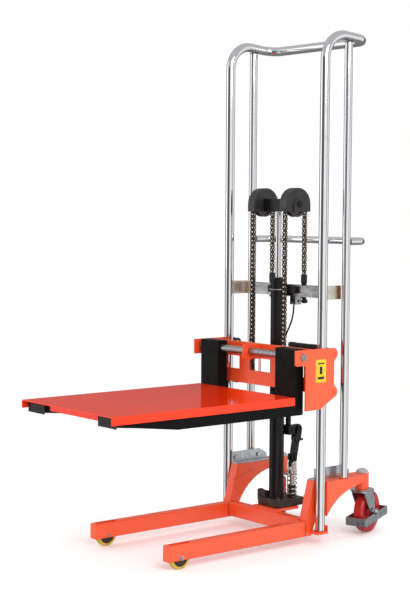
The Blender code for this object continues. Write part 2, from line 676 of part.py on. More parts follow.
def build_fork_rod():
    rod("fork_rod", at(0, *FORK_ROD), FORK_ROD_R, 2 * (PLATE_X[1] + 0.004), "X", "carriage", "steel", sides=20,
        edge=0.0015)


def build_deck():
    """Lift-off load deck: a thin sheet with turned-down sides that straddles the forks."""
    under = DECK_Z - DECK_SHEET
    deck = mast_box("deck", (-DECK_X, DECK_X), DECK_Y, (under, DECK_Z), "deck", "deck_paint")
    flanges = [mast_box(f"deck_flange_{side}", span(side, (DECK_X - DECK_SHEET, DECK_X)), DECK_Y,
                        (DECK_Z - DECK_FLANGE, under + 0.0005)) for side in SIDES]
    skirt = mast_box("deck_skirt", (-0.136, 0.136), (DECK_Y[0] + 0.033, DECK_Y[0] + 0.036),
                     (DECK_Z - DECK_FLANGE, under + 0.0005))
    join(deck, *flanges, skirt)


# ------------------------------------------------------------------------------------------
# pump linkage and release
# ------------------------------------------------------------------------------------------
def capsule(start, end, radius_a, radius_b, steps=8):
    """Outline of a strap with round ends about two points."""
    direction = math.degrees(math.atan2(end[1] - start[1], end[0] - start[0]))
    return (arc(start, radius_a, direction + 90, direction + 270, steps)
            + arc(end, radius_b, direction - 90, direction + 90, steps))


def build_pump_bracket():
    """Yoke on the back of the cylinder that carries the pump lever's pivot."""
    y, z = PUMP_PIVOT
    yoke = mast_box("pump_bracket", (PUMP_X - 0.0235, PUMP_X + 0.0235), (RAM_Y + CYLINDER_R + GAP, y + 0.012),
                    (z - 0.016, z + 0.016), "frame", "black_paint", edge=0.002)
    slot = mast_box("lever_slot", (PUMP_X - 0.0125, PUMP_X + 0.0125), (y - 0.0155, y + 0.03), (z - 0.03, z + 0.03))
    hole = rod("pivot_hole", at(PUMP_X, y, z), PIN_BORE_R, 0.08, "X")
    cut(yoke, slot, hole)


def build_pump_lever():
    """Bell crank with its bent tube and T-shaped grip bar."""
    y, z = PUMP_PIVOT
    strap = mast_plate("pump_lever", capsule(PUMP_PIVOT, PUMP_EYE, 0.0145, 0.0165), (PUMP_X - 0.0070, PUMP_X + 0.0070),
                       "pump_lever", "black_paint")
    hub = rod("lever_hub", at(PUMP_X, y, z), 0.0145, 0.024, "X")
    pin = rod("lever_pin", at(PUMP_X, y, z), PIN_R, 0.050, "X")
    eye_pin = rod("lever_eye_pin", at(PUMP_X, *PUMP_EYE), PIN_R, 0.034, "X")
    stem_points = path_points([at(PUMP_X, y, z), at(PUMP_X, y, 0.480), at(PUMP_X, *GRIP_Y_Z)], [0.09])
    stem = tube("lever_stem", stem_points, 0.0095)
    grip = tube("lever_grip", [at(GRIP_X[0], *GRIP_Y_Z), at(GRIP_X[1], *GRIP_Y_Z)], 0.0108)
    join(strap, hub, pin, eye_pin, stem, grip)


def build_pump_link():
    """Link with two cheeks on the crank's eye and a single eye on the plunger's pin."""
    top = PUMP_EYE
    foot = PUMP_PIN
    direction = Vector((foot[0] - top[0], foot[1] - top[1])).normalized()
    shoulder = (top[0] + direction.x * 0.036, top[1] + direction.y * 0.036)
    link = mast_plate("pump_link", capsule(shoulder, foot, 0.0125, 0.0125), (PUMP_X - 0.0078, PUMP_X + 0.0078),
                      "pump_link", "black_paint")
    cheeks = [mast_plate(f"link_cheek_{i}", capsule(top, shoulder, 0.0115, 0.0125), (PUMP_X + a, PUMP_X + b))
              for i, (a, b) in enumerate(((-0.0130, -0.0075), (0.0075, 0.0130)))]
    eye_hole = rod("link_eye_hole", at(PUMP_X, *top), PIN_BORE_R, 0.05, "X")
    foot_hole = rod("link_foot_hole", at(PUMP_X, *foot), PIN_R + 0.0018, 0.05, "X")
    relief = rod("link_relief", at(PUMP_X, *top), 0.0190, 0.0150, "X", sides=24)
    screw = rod("link_screw", at(PUMP_X, shoulder[0] + 0.0204, shoulder[1] - 0.006), 0.004, 0.024, "Y", sides=10)
    collar = rod("link_collar", at(PUMP_X, foot[0] + 0.001, foot[1] + 0.0255), 0.0175, 0.021, sides=12)
    join(link, *cheeks)
    cut(link, relief)
    join(link, screw, collar)
    cut(link, eye_hole, foot_hole)


def build_pump_plunger():
    """Spring cap with its rod below and the pinned clevis above."""
    y, z = PUMP_PIN
    profile = [(0, 0.2180), (0.0165, 0.2180), (0.0178, 0.2165), (0.0178, 0.2050), (0.0165, 0.2035), (0.0092, 0.2035),
               (0.0092, 0.1500), (0, 0.1500)]
    plunger = lathe("pump_plunger", profile, at(PUMP_X, PUMP_Y, 0), "pump_plunger", "zinc")
    cheeks = [mast_plate(f"plunger_cheek_{i}", [(y - 0.011, 0.2175), (y + 0.011, 0.2175), *arc((y, z), 0.011, 0, 180)],
                         (PUMP_X + a, PUMP_X + b)) for i, (a, b) in enumerate(((-0.0125, -0.0082), (0.0082, 0.0125)))]
    pin = rod("plunger_pin", at(PUMP_X, y, z), PIN_R, 0.034, "X")
    join(plunger, *cheeks, pin)


def build_pump_spring():
    turns, per_turn = 5.5, 10
    low, high = SPRING_Z[0] + SPRING_WIRE_R, SPRING_Z[1] - SPRING_WIRE_R
    count = int(turns * per_turn)
    points = []
    for i in range(count + 1):
        turn = 2 * math.pi * i / per_turn
        points.append(at(PUMP_X + SPRING_R * math.cos(turn), PUMP_Y + SPRING_R * math.sin(turn),
                         low + (high - low) * i / count))
    tube("pump_spring", points, SPRING_WIRE_R, "frame", "zinc", sides_setting=1)


def build_release():
    """Thumb lever on the cross frame and the cable that it pulls."""
    y, z = RELEASE_PIVOT
    arm = mast_plate("release_lever", capsule((y, z), (y + 0.036, z - 0.003), 0.007, 0.004),
                     (RELEASE_X - 0.0045, RELEASE_X + 0.0045), "release_lever", "black_paint")
    pin = rod("release_pin", at(RELEASE_X, y, z), 0.004, 0.030, "X")
    knob = rod("release_knob", at(RELEASE_X, y + 0.044, z - 0.0035), 0.0075, 0.016, "Y", sides=12)
    join(arm, pin, knob)
    points = smooth_route([at(*point) for point in CABLE_ROUTE], 4)
    tube("release_cable", points, CABLE_R, "frame", "black_plastic", sides_setting=2)


def smooth_route(knots, per_span):
    """Points on a Catmull-Rom curve through the knots."""
    padded = [knots[0] * 2 - knots[1], *knots, knots[-1] * 2 - knots[-2]]
    points = []
    for a, b, c, d in zip(padded, padded[1:], padded[2:], padded[3:]):
        for step in range(per_span):
            t = step / per_span
            points.append(0.5 * (2 * b + (c - a) * t + (2 * a - 5 * b + 4 * c - d) * t ** 2
                                 + (3 * b - a - 3 * c + d) * t ** 3))
    points.append(knots[-1])
    return points


# ------------------------------------------------------------------------------------------
# casters and load rollers: local X is the axle, local Y trails behind the stem
# ------------------------------------------------------------------------------------------
def build_caster(side):
    stem = at(SIDES[side] * STEM_X, STEM_Y, 0)
    base = body(f"caster_{side}", stem, CASTER_YAW[side])
    axle_place = base @ Vector((0, CASTER_TRAIL, CASTER_R))
    axle_base = body(f"caster_wheel_{side}", axle_place, CASTER_YAW[side])

    race = [(0, 0.1625), (0.040, 0.1625), (0.0440, 0.1610), (0.0440, 0.1585), (0.040, 0.1568), (0, 0.1568)]
    lathe(f"caster_race_{side}", race, stem, "frame", "zinc")

    build_caster_fork(side, base)
    build_caster_guard(side, axle_base)

    name = f"caster_axle_{side}"
    shaft = rod(name, (0, 0, 0), 0.006, 0.088, "X", f"caster_{side}", "zinc", axle_base)
    heads = [rod(f"axle_head_{side}_{i}", (sign * 0.0418, 0, 0), 0.0105, 0.0045, "X", base=axle_base, sides=6)
             for i, sign in enumerate((-1, 1))]
    join(shaft, *heads)

    half, web, hub, bore = CASTER_W / 2, 0.006, 0.018, 0.0064
    outer = [(bore, half + 0.002), (hub, half + 0.002), (hub, web), (0.045, web), (0.048, half - 0.001),
             (0.0690, half), (CASTER_R, half - 0.008)]
    inner = [(radius, -height) for radius, height in reversed(outer)]
    wheel = f"caster_wheel_{side}"
    lathe(wheel, outer + inner, (0, 0, 0), wheel, "red_polyurethane", "X", axle_base, 24)


def build_caster_fork(side, base):
    """Crown disc and two tapering legs that reach back to the axle."""
    crown_z = (0.1525, 0.1565)
    crown = rod(f"caster_fork_{side}", (0, 0, sum(crown_z) / 2), 0.0400, crown_z[1] - crown_z[0], "Z",
                f"caster_{side}", "zinc", base, sides=24)
    outline = [(-0.030, crown_z[0] + 0.0005), (-0.026, 0.140), (CASTER_TRAIL - 0.018, CASTER_R - 0.004)]
    outline += arc((CASTER_TRAIL, CASTER_R), 0.016, 200, 345, 6)
    outline += [(CASTER_TRAIL + 0.010, 0.125), (0.034, 0.146), (0.033, crown_z[0] + 0.0005)]
    legs = [plate(f"caster_leg_{side}_{i}", outline, (sign * 0.0225, sign * 0.0260), base=base)
            for i, sign in enumerate((-1, 1))]
    hole = rod(f"leg_hole_{side}", (0, CASTER_TRAIL, CASTER_R), 0.0063, 0.08, "X", base=base)
    join(crown, *legs)
    cut(crown, hole)


def build_caster_guard(side, axle_base):
    """Tilted rectangular loop round the wheel, hung on the axle by two ears."""
    tilt = axle_base @ Matrix.Rotation(GUARD_TILT, 4, "X")
    x, y = GUARD_HALF
    top = GUARD_Z[0] + GUARD_Z[1]
    loop = box(f"caster_guard_{side}", (-x, x), (-y, y), (GUARD_Z[0], top), f"caster_{side}", "zinc", tilt)
    inside = box(f"guard_inside_{side}", (GUARD_WALL - x, x - GUARD_WALL), (GUARD_WALL - y, y - GUARD_WALL),
                 (-0.1, 0.1), base=tilt)
    cut(loop, inside)
    ears = [box(f"guard_ear_{side}_{i}", sorted((sign * (x - GUARD_WALL), sign * x)), (-0.012, 0.012),
                (GUARD_Z[0] + 0.002, 0.012), base=tilt) for i, sign in enumerate((-1, 1))]
    hole = rod(f"ear_hole_{side}", (0, 0, 0), 0.0063, 0.12, "X", base=axle_base)
    join(loop, *ears)
    cut(loop, hole)


def build_load_roller(side):
    middle = SIDES[side] * (LEG_IN + LEG_OUT) / 2
    centre = at(middle, LOAD_ROLLER_Y, LOAD_ROLLER_R)
    half = LOAD_ROLLER_W / 2
    rim = LOAD_ROLLER_R
    tread = [(0.0055, half), (rim - 0.002, half), (rim, half - 0.002), (rim, 0.002 - half), (rim - 0.002, -half),
             (0.0055, -half)]
    lathe(f"load_roller_{side}", tread, centre, f"load_roller_{side}", "amber_polyurethane", axis="X", steps=24)


# ------------------------------------------------------------------------------------------
# assembly
# ------------------------------------------------------------------------------------------
def make_bodies():
    """An empty for the frame and for every body that has a joint."""
    body("frame")
    body("ram", at(0, RAM_Y, CYLINDER_Z[1]))
    body("carriage", at(0, 0, FORK_ROD[1]))
    body("deck", at(0, DECK_Y[1], DECK_Z))
    body("pump_lever", at(PUMP_X, *PUMP_PIVOT))
    body("pump_link", at(PUMP_X, *PUMP_EYE))
    body("pump_plunger", at(PUMP_X, PUMP_Y, PUMP_PIN[1]))
    body("release_lever", at(RELEASE_X, *RELEASE_PIVOT))
    for side, sign in SIDES.items():
        body(f"sheave_{side}", at(sign * SHEAVE_X, RAM_Y, SHEAVE_Z))
        body(f"load_roller_{side}", at(sign * (LEG_IN + LEG_OUT) / 2, LOAD_ROLLER_Y, LOAD_ROLLER_R))
        for level, z in GUIDE_Z.items():
            body(f"guide_roller_{level}_{side}", at(sign * POST_X, GUIDE_Y, z))


def main():
    make_bodies()
    build_cross_beam()
    build_mast()
    build_push_handle()
    build_cross_frame()
    build_cylinder()
    build_pump_block()
    build_ram()
    build_front_plate()
    build_fork_rod()
    build_deck()
    build_pump_bracket()
    build_pump_lever()
    build_pump_link()
    build_pump_plunger()
    build_pump_spring()
    build_release()
    for side in SIDES:
        build_leg(side)
        build_arm(side)
        build_post_bracket(side)
        build_stem_cap(side)
        build_rear_post(side)
        build_chain_anchor(side)
        build_sheave(side)
        build_chain(side)
        build_side_plate(side)
        build_fork(side)
        build_caster(side)
        build_load_roller(side)
        for level in GUIDE_Z:
            build_guide_roller(level, side)


main()
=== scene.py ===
"""Looks of the walkie stacker: fine surfaces, materials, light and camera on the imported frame."""
import json
import math

import bmesh
import bpy
from mathutils import Matrix, Vector

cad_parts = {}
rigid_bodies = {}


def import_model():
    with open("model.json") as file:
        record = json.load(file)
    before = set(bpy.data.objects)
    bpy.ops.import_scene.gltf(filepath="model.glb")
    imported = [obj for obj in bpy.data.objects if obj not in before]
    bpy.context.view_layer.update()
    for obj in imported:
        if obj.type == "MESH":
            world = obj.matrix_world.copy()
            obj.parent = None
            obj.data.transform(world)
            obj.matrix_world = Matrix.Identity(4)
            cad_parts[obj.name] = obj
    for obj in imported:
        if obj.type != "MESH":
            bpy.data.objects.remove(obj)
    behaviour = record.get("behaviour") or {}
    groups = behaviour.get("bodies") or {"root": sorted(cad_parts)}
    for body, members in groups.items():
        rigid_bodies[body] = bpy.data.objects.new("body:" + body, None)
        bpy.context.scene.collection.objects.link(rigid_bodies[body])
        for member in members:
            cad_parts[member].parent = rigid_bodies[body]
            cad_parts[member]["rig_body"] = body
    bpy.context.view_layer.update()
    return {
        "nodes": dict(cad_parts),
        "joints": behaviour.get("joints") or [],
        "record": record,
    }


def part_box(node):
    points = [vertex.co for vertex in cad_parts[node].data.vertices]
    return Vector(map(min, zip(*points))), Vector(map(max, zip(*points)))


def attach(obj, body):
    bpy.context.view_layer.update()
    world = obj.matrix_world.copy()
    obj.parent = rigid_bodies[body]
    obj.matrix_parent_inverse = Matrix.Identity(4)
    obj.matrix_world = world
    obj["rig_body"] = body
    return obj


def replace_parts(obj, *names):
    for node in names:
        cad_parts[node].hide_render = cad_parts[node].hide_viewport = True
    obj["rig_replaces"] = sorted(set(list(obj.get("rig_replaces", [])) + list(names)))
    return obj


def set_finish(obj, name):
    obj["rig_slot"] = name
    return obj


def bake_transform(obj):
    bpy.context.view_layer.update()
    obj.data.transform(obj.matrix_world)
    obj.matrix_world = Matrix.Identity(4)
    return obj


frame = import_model()

SIDES = {"left": 1, "right": -1}
CYLINDER_LOW, CYLINDER_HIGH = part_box("lift_cylinder")
RAM_Y = (CYLINDER_LOW.y + CYLINDER_HIGH.y) / 2
RAM_BEHIND_POSTS = 0.0185
MAST_Y = RAM_Y - RAM_BEHIND_POSTS
POST_R = 0.0163
POST_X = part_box("mast_tube")[1].x - POST_R
LEG_IN = 0.1845
CHAIN_PITCH = 0.015875
CHAIN_PITCH_R = 0.0465
CHAIN_X = 0.0833
SHEAVE_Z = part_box("chain_front_left")[1].z
LEVER_PIVOT = (MAST_Y + 0.063, 0.365)
LEVER_EYE = (MAST_Y + 0.108, 0.365)
GRIP = (MAST_Y + 0.132, 0.661)
BLOCK_TOP = 0.1236
VALVE = (-0.035, MAST_Y + 0.075)


def middle(node):
    low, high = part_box(node)
    return (low + high) / 2


# ------------------------------------------------------------------------------------------
# materials
# ------------------------------------------------------------------------------------------
class Shader:
    """A Principled material with procedural colour, roughness and bump in the piece's own space."""

    def __init__(self, name, colour, roughness, metallic=0.0, **sockets):
        self.material = bpy.data.materials.new(name)
        self.material.use_nodes = True
        self.tree = self.material.node_tree
        self.bsdf = self.tree.nodes["Principled BSDF"]
        self.bsdf.inputs["Roughness"].default_value = roughness
        self.bsdf.inputs["Metallic"].default_value = metallic
        for key, value in sockets.items():
            self.bsdf.inputs[key.replace("_", " ")].default_value = value
        self.material.diffuse_color = (*colour, 1)
        self.colour = self.rgb(colour)
        self.link(self.colour, self.bsdf.inputs["Base Color"])
        self.height = None

    def node(self, kind, **settings):
        made = self.tree.nodes.new(kind)
        for key, value in settings.items():
            setattr(made, key, value)
        return made

    def link(self, source, target):
        self.tree.links.new(source, target)

    def rgb(self, colour):
        made = self.node("ShaderNodeRGB")
        made.outputs[0].default_value = (*colour, 1)
        return made.outputs[0]

    def space(self, stretch=(1, 1, 1)):
        """Coordinates in metres, which move with the piece."""
        place = self.node("ShaderNodeTexCoord")
        scale = self.node("ShaderNodeMapping")
        scale.inputs["Scale"].default_value = stretch
        self.link(place.outputs["Object"], scale.inputs["Vector"])
        return scale.outputs["Vector"]

    def noise(self, scale, detail=3, stretch=(1, 1, 1), low=0.35, high=0.65, rough=0.5):
        """Noise from 0 to 1, with its contrast set by the low and high limits."""
        noise = self.node("ShaderNodeTexNoise")
        noise.inputs["Scale"].default_value = scale
        noise.inputs["Detail"].default_value = detail
        noise.inputs["Roughness"].default_value = rough
        self.link(self.space(stretch), noise.inputs["Vector"])
        return self.ramp(noise.outputs["Fac"], low, high)

    def ramp(self, value, low, high, to_low=0.0, to_high=1.0):
        limits = self.node("ShaderNodeMapRange")
        for socket, number in zip(limits.inputs[1:5], (low, high, to_low, to_high)):
            socket.default_value = number
        self.link(value, limits.inputs[0])
        return limits.outputs[0]

    def blend_to(self, colour, mask):
        """The base colour turns to another where the mask is 1."""
        mix = self.node("ShaderNodeMix", data_type="RGBA")
        self.link(mask, mix.inputs["Factor"])
        self.link(self.colour, mix.inputs[6])
        self.link(self.rgb(colour), mix.inputs[7])
        self.colour = mix.outputs[2]
        self.link(self.colour, self.bsdf.inputs["Base Color"])
        return self

    def roughness_from(self, mask, low, high):
        self.link(self.ramp(mask, 0, 1, low, high), self.bsdf.inputs["Roughness"])
        return self

    def bump(self, mask, distance, strength=1.0):
        made = self.node("ShaderNodeBump")
        made.inputs["Strength"].default_value = strength
        made.inputs["Distance"].default_value = distance
        self.link(mask, made.inputs["Height"])
        if self.height is not None:
            self.link(self.height, made.inputs["Normal"])
        self.height = made.outputs["Normal"]
        self.link(self.height, self.bsdf.inputs["Normal"])
        return self

    def band(self, axis, low, high, mirrored=False):
        """A mask that is 1 between two places along an axis, with soft ends."""
        split = self.node("ShaderNodeSeparateXYZ")
        self.link(self.space(), split.inputs[0])
        value = split.outputs[axis]
        if mirrored:
            size = self.node("ShaderNodeMath", operation="ABSOLUTE")
            self.link(value, size.inputs[0])
            value = size.outputs[0]
        soft = 0.35 * (high - low)
        both = self.node("ShaderNodeMath", operation="MULTIPLY")
        self.link(self.ramp(value, low, low + soft), both.inputs[0])
        self.link(self.ramp(value, high, high - soft), both.inputs[1])
        return both.outputs[0]


def tinted(colour, amount):
    return tuple(min(1.0, part * (1 + amount)) for part in colour)


def paint(name, colour, roughness, **sockets):
    """Sprayed paint: slight orange peel, faint shade variation and uneven gloss."""
    made = Shader(name, colour, roughness, **sockets)
    made.blend_to(tinted(colour, -0.08), made.noise(5, 2))
    made.roughness_from(made.noise(35, 4), roughness * 0.85, roughness * 1.3)
    made.bump(made.noise(450, 2, low=0, high=1), 0.00006)
    return made.material


def enamel(name, colour, roughness):
    """Glossy stoved enamel on flat sheet, nearly even, with fine scuffs from sliding loads."""
    made = Shader(name, colour, roughness)
    made.blend_to(tinted(colour, -0.05), made.noise(4, 2))
    scuffs = made.noise(50, 5, stretch=(1, 0.12, 1), low=0.5, high=0.8)
    made.roughness_from(scuffs, roughness, roughness * 1.6)
    made.bump(made.noise(6, 1, low=0, high=1), 0.00025, 0.3)
    return made.material


def plated(name, colour, roughness, stain=(0.45, 0.42, 0.36)):
    """Plated steel: streaks in its gloss and faint dull patches."""
    made = Shader(name, colour, roughness, metallic=1.0)
    made.blend_to(stain, made.noise(22, 5, low=0.58, high=0.9))
    made.roughness_from(made.noise(140, 5, stretch=(1, 1, 0.25)), roughness * 0.7, roughness * 1.5)
    made.bump(made.noise(500, 3, low=0, high=1), 0.00008)
    return made.material


def rubbery(name, colour, roughness, **sockets):
    """Moulded plastic or polyurethane with fine grain."""
    made = Shader(name, colour, roughness, **sockets)
    made.blend_to(tinted(colour, -0.3), made.noise(40, 4, low=0.4, high=0.8))
    made.roughness_from(made.noise(90, 3), roughness * 0.85, roughness * 1.3)
    made.bump(made.noise(900, 2, low=0, high=1), 0.00010)
    return made.material


def chrome_tube():
    """Polished tube with very faint drawing marks and a few dull spots."""
    made = Shader("chrome", (0.80, 0.80, 0.82), 0.06, metallic=1.0)
    made.blend_to((0.60, 0.58, 0.55), made.noise(30, 5, low=0.62, high=0.85))
    made.roughness_from(made.noise(25, 5, stretch=(1, 1, 0.2), low=0.45, high=0.8), 0.05, 0.20)
    made.bump(made.noise(12, 1, stretch=(1, 1, 0.4), low=0, high=1), 0.0007, 0.2)
    return made.material


def welded_steel():
    """Bright channel with blue and bronze heat tint where it is welded to its ties; the lighter band on the
    side plates is a painted highlight standing in for their reflection.
    """
    made = Shader("welded_steel", (0.50, 0.50, 0.50), 0.33, metallic=1.0)
    made.blend_to((0.30, 0.30, 0.31), made.noise(18, 4, stretch=(1, 4, 4)))
    made.blend_to((0.50, 0.27, 0.17), made.band(0, 0.188, 0.2125, mirrored=True))
    # Painted highlight: this lighter band on the side plates stands in for light they reflect, not for heat
    # tint or a colour of the steel.
    made.blend_to((0.72, 0.67, 0.60), made.band(0, 0.2115, 0.240, mirrored=True))
    made.blend_to((0.55, 0.24, 0.12), made.band(1, MAST_Y + 0.078, MAST_Y + 0.112))
    made.roughness_from(made.noise(160, 5, stretch=(0.15, 1, 1)), 0.24, 0.46)
    made.bump(made.noise(320, 4, stretch=(0.1, 1, 1), low=0, high=1), 0.00012)
    return made.material


def weld_metal(name, colour, metallic, roughness):
    """Rippled weld bead."""
    made = Shader(name, colour, roughness, metallic=metallic)
    made.blend_to(tinted(colour, -0.45), made.noise(120, 3))
    made.bump(made.noise(260, 3, low=0, high=1), 0.0006)
    return made.material


def casting():
    """Oily dark iron with a sand-cast skin."""
    made = Shader("cast_iron", (0.040, 0.031, 0.026), 0.45, metallic=0.35)
    made.blend_to((0.085, 0.055, 0.038), made.noise(38, 5, low=0.45, high=0.75))
    made.roughness_from(made.noise(60, 4), 0.30, 0.62)
    made.bump(made.noise(420, 5, low=0, high=1), 0.0006)
    return made.material


def chain_plate():
    """Oiled side plates, browned by grease, with brighter worn patches."""
    made = Shader("chain_plate", (0.060, 0.050, 0.042), 0.36, metallic=0.85)
    made.blend_to((0.20, 0.165, 0.125), made.noise(170, 4, low=0.52, high=0.72))
    made.roughness_from(made.noise(260, 3), 0.25, 0.5)
    made.bump(made.noise(700, 3, low=0, high=1), 0.00010)
    return made.material


MATERIALS = {
    "orange_paint": paint("orange_paint", (0.93, 0.098, 0.026), 0.32, Coat_Weight=0.25, Coat_Roughness=0.12),
    "deck_paint": enamel("deck_paint", (0.95, 0.034, 0.0), 0.09),
    "black_paint": paint("black_paint", (0.0055, 0.0055, 0.0062), 0.34, Specular_IOR_Level=0.30),
    "fork_paint": paint("fork_paint", (0.0045, 0.0045, 0.005), 0.36, Specular_IOR_Level=0.10),
    "guard_paint": paint("guard_paint", (0.022, 0.022, 0.023), 0.40),
    "chrome": chrome_tube(),
    "zinc": plated("zinc", (0.52, 0.55, 0.58), 0.30),
    "bright_zinc": plated("bright_zinc", (0.74, 0.75, 0.75), 0.24),
    "steel": plated("steel", (0.42, 0.42, 0.43), 0.30, (0.22, 0.20, 0.18)),
    "dark_steel": plated("dark_steel", (0.10, 0.095, 0.09), 0.38, (0.06, 0.05, 0.045)),
    "satin_steel": plated("satin_steel", (0.38, 0.38, 0.39), 0.34, (0.30, 0.29, 0.28)),
    "welded_steel": welded_steel(),
    "weld": weld_metal("weld", (0.42, 0.35, 0.28), 1.0, 0.38),
    "painted_weld": weld_metal("painted_weld", (0.80, 0.075, 0.020), 0.0, 0.36),
    "chain_steel": chain_plate(),
    "rivet": plated("rivet", (0.66, 0.63, 0.56), 0.22),
    "brass": plated("brass", (0.55, 0.36, 0.13), 0.32, (0.25, 0.16, 0.07)),
    "cast_iron": casting(),
    "red_polyurethane": rubbery("red_polyurethane", (0.46, 0.014, 0.016), 0.26, Coat_Weight=0.3),
    "amber_polyurethane": rubbery("amber_polyurethane", (0.66, 0.43, 0.04), 0.34),
    "grey_plastic": rubbery("grey_plastic", (0.42, 0.40, 0.44), 0.40),
    "black_plastic": rubbery("black_plastic", (0.014, 0.014, 0.015), 0.45),
    "black_rubber": rubbery("black_rubber", (0.010, 0.010, 0.010), 0.62),
    "yellow_label": rubbery("yellow_label", (0.86, 0.56, 0.02), 0.35),
}


# ------------------------------------------------------------------------------------------
# shapes
# ------------------------------------------------------------------------------------------
def soften(obj, width, segments=2, angle=35):
    """Rounds a mesh's hard edges and keeps its flat faces evenly shaded."""
    weld = obj.modifiers.new("weld", "WELD")
    weld.merge_threshold = 0.00002
    edges = obj.modifiers.new("edges", "BEVEL")
    edges.width = width
    edges.segments = segments
    edges.limit_method = "ANGLE"
    edges.angle_limit = math.radians(angle)
    edges.harden_normals = True
    flats = obj.modifiers.new("flats", "WEIGHTED_NORMAL")
    flats.mode = "FACE_AREA"
    flats.weight = 100
    flats.keep_sharp = True
    return obj


def finish_piece(obj, material, body, replaces=(), slot=None):
    bpy.context.scene.collection.objects.link(obj)
    obj.data.materials.append(MATERIALS[material])
    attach(obj, body)
    if replaces:
        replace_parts(obj, *replaces)
    if slot or material in RECORD_SLOTS:
        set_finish(obj, slot or material)
    return obj


RECORD_SLOTS = {entry["slot"] for entry in frame["record"]["materials"]}


def mesh_piece(name, bm, material, body, replaces=(), edge=0.0, angle=35, slot=None):
    mesh = bpy.data.meshes.new(name)
    bmesh.ops.recalc_face_normals(bm, faces=bm.faces)
    bm.to_mesh(mesh)
    bm.free()
    mesh.shade_smooth()
    mesh.set_sharp_from_angle(angle=math.radians(angle))
    obj = finish_piece(bpy.data.objects.new(name, mesh), material, body, replaces, slot)
    return soften(obj, edge, angle=angle) if edge else obj


AXIS_TURN = {"X": Matrix.Rotation(math.pi / 2, 4, "Y"), "Y": Matrix.Rotation(-math.pi / 2, 4, "X"),
             "Z": Matrix()}


def mirrored(half_profile):
    """Completes a (radius, height) profile that is the same above and below its middle."""
    return half_profile + [(radius, -height) for radius, height in reversed(half_profile)]


def turned(name, profile, centre, axis, material, body, replaces=(), steps=64, yaw=0.0, edge=0.0, slot=None):
    """Turns (radius, height) points about an axis; a profile off the axis closes on itself."""
    bm = bmesh.new()
    verts = [bm.verts.new((radius, 0, height)) for radius, height in profile]
    pairs = list(zip(verts, verts[1:]))
    if profile[0][0] > 0:
        pairs.append((verts[-1], verts[0]))
    edges = [bm.edges.new(pair) for pair in pairs]
    bmesh.ops.spin(bm, geom=verts + edges, cent=(0, 0, 0), axis=(0, 0, 1), angle=2 * math.pi, steps=steps)
    bmesh.ops.remove_doubles(bm, verts=bm.verts, dist=0.000001)
    place = Matrix.Translation(centre) @ Matrix.Rotation(yaw, 4, "Z") @ AXIS_TURN[axis]
    bmesh.ops.transform(bm, matrix=place, verts=bm.verts)
    return mesh_piece(name, bm, material, body, replaces, edge, slot=slot)


def hex_prism(bm, centre, radius, length, axis, yaw=0.0):
    """A bolt head or nut with chamfered corners, added to a mesh."""
    place = Matrix.Translation(centre) @ Matrix.Rotation(yaw, 4, "Z") @ AXIS_TURN[axis]
    rings = []
    end, chamfer = length / 2, 0.15 * radius
    for height, size in ((-end, radius), (end - chamfer, radius), (end, 0.88 * radius)):
        ring = [place @ Vector((size * math.cos(i * math.pi / 3), size * math.sin(i * math.pi / 3), height))
                for i in range(6)]
        rings.append([bm.verts.new(point) for point in ring])
    for lower, upper in zip(rings, rings[1:]):
        for i in range(6):
            bm.faces.new((lower[i], lower[(i + 1) % 6], upper[(i + 1) % 6], upper[i]))
    bm.faces.new(rings[0][::-1])
    bm.faces.new(rings[-1])


def drum(bm, centre, radius, length, axis, sides=24, yaw=0.0):
    """A plain cylinder added to a mesh."""
    place = Matrix.Translation(centre) @ Matrix.Rotation(yaw, 4, "Z") @ AXIS_TURN[axis]
    bmesh.ops.create_cone(bm, cap_ends=True, segments=sides, radius1=radius, radius2=radius, depth=length,
                          matrix=place)


def pipe(name, points, radius, material, body, replaces=(), sides=8, radii=None, slot=None):
    """A round tube along a line of points, with flat filled ends; radii can vary from point to point."""
    curve = bpy.data.curves.new(name, "CURVE")
    curve.dimensions = "3D"
    curve.bevel_depth = radius
    curve.bevel_resolution = sides
    curve.use_fill_caps = True
    spline = curve.splines.new("POLY")
    spline.points.add(len(points) - 1)
    for i, point in enumerate(points):
        spline.points[i].co = (*point, 1)
        if radii:
            spline.points[i].radius = radii[i] / radius
    return finish_piece(bpy.data.objects.new(name, curve), material, body, replaces, slot)


def arc(centre, radius, start, end, steps=16):
    turns = [math.radians(start + (end - start) * i / steps) for i in range(steps + 1)]
    return [(centre[0] + radius * math.cos(turn), centre[1] + radius * math.sin(turn)) for turn in turns]


def rounded(corners, radii, steps=20):
    """A line through corners, each inner corner rounded by an arc of its own radius."""
    points = [Vector(corners[0])]
    for before, here, after, radius in zip(corners, corners[1:], corners[2:], radii):
        here = Vector(here)
        back = (Vector(before) - here).normalized()
        ahead = (Vector(after) - here).normalized()
        half = back.angle(ahead) / 2
        centre = here + (back + ahead).normalized() * radius / math.sin(half)
        start = here + back * radius / math.tan(half) - centre
        end = here + ahead * radius / math.tan(half) - centre
        sweep = start.angle(end)
        for step in range(steps + 1):
            part = step / steps
            mix = start * math.sin((1 - part) * sweep) + end * math.sin(part * sweep)
            points.append(centre + mix / math.sin(sweep))
    points.append(Vector(corners[-1]))
    return points


def plate(name, outline, across, material, body, replaces=(), edge=0.0006, slot=None):
    """A flat YZ outline, thick along X, with rounded edges."""
    curve = bpy.data.curves.new(name, "CURVE")
    curve.dimensions = "2D"
    curve.fill_mode = "BOTH"
    curve.extrude = abs(across[1] - across[0]) / 2 - edge
    curve.bevel_depth = edge
    curve.bevel_resolution = 2
    curve.offset = -edge
    spline = curve.splines.new("POLY")
    spline.points.add(len(outline) - 1)
    for item, (u, v) in zip(spline.points, outline):
        item.co = (u, v, 0, 1)
    spline.use_cyclic_u = True
    obj = bpy.data.objects.new(name, curve)
    obj.matrix_world = Matrix(((0, 0, 1, sum(across) / 2), (1, 0, 0, 0), (0, 1, 0, 0), (0, 0, 0, 1)))
    return finish_piece(obj, material, body, replaces, slot)


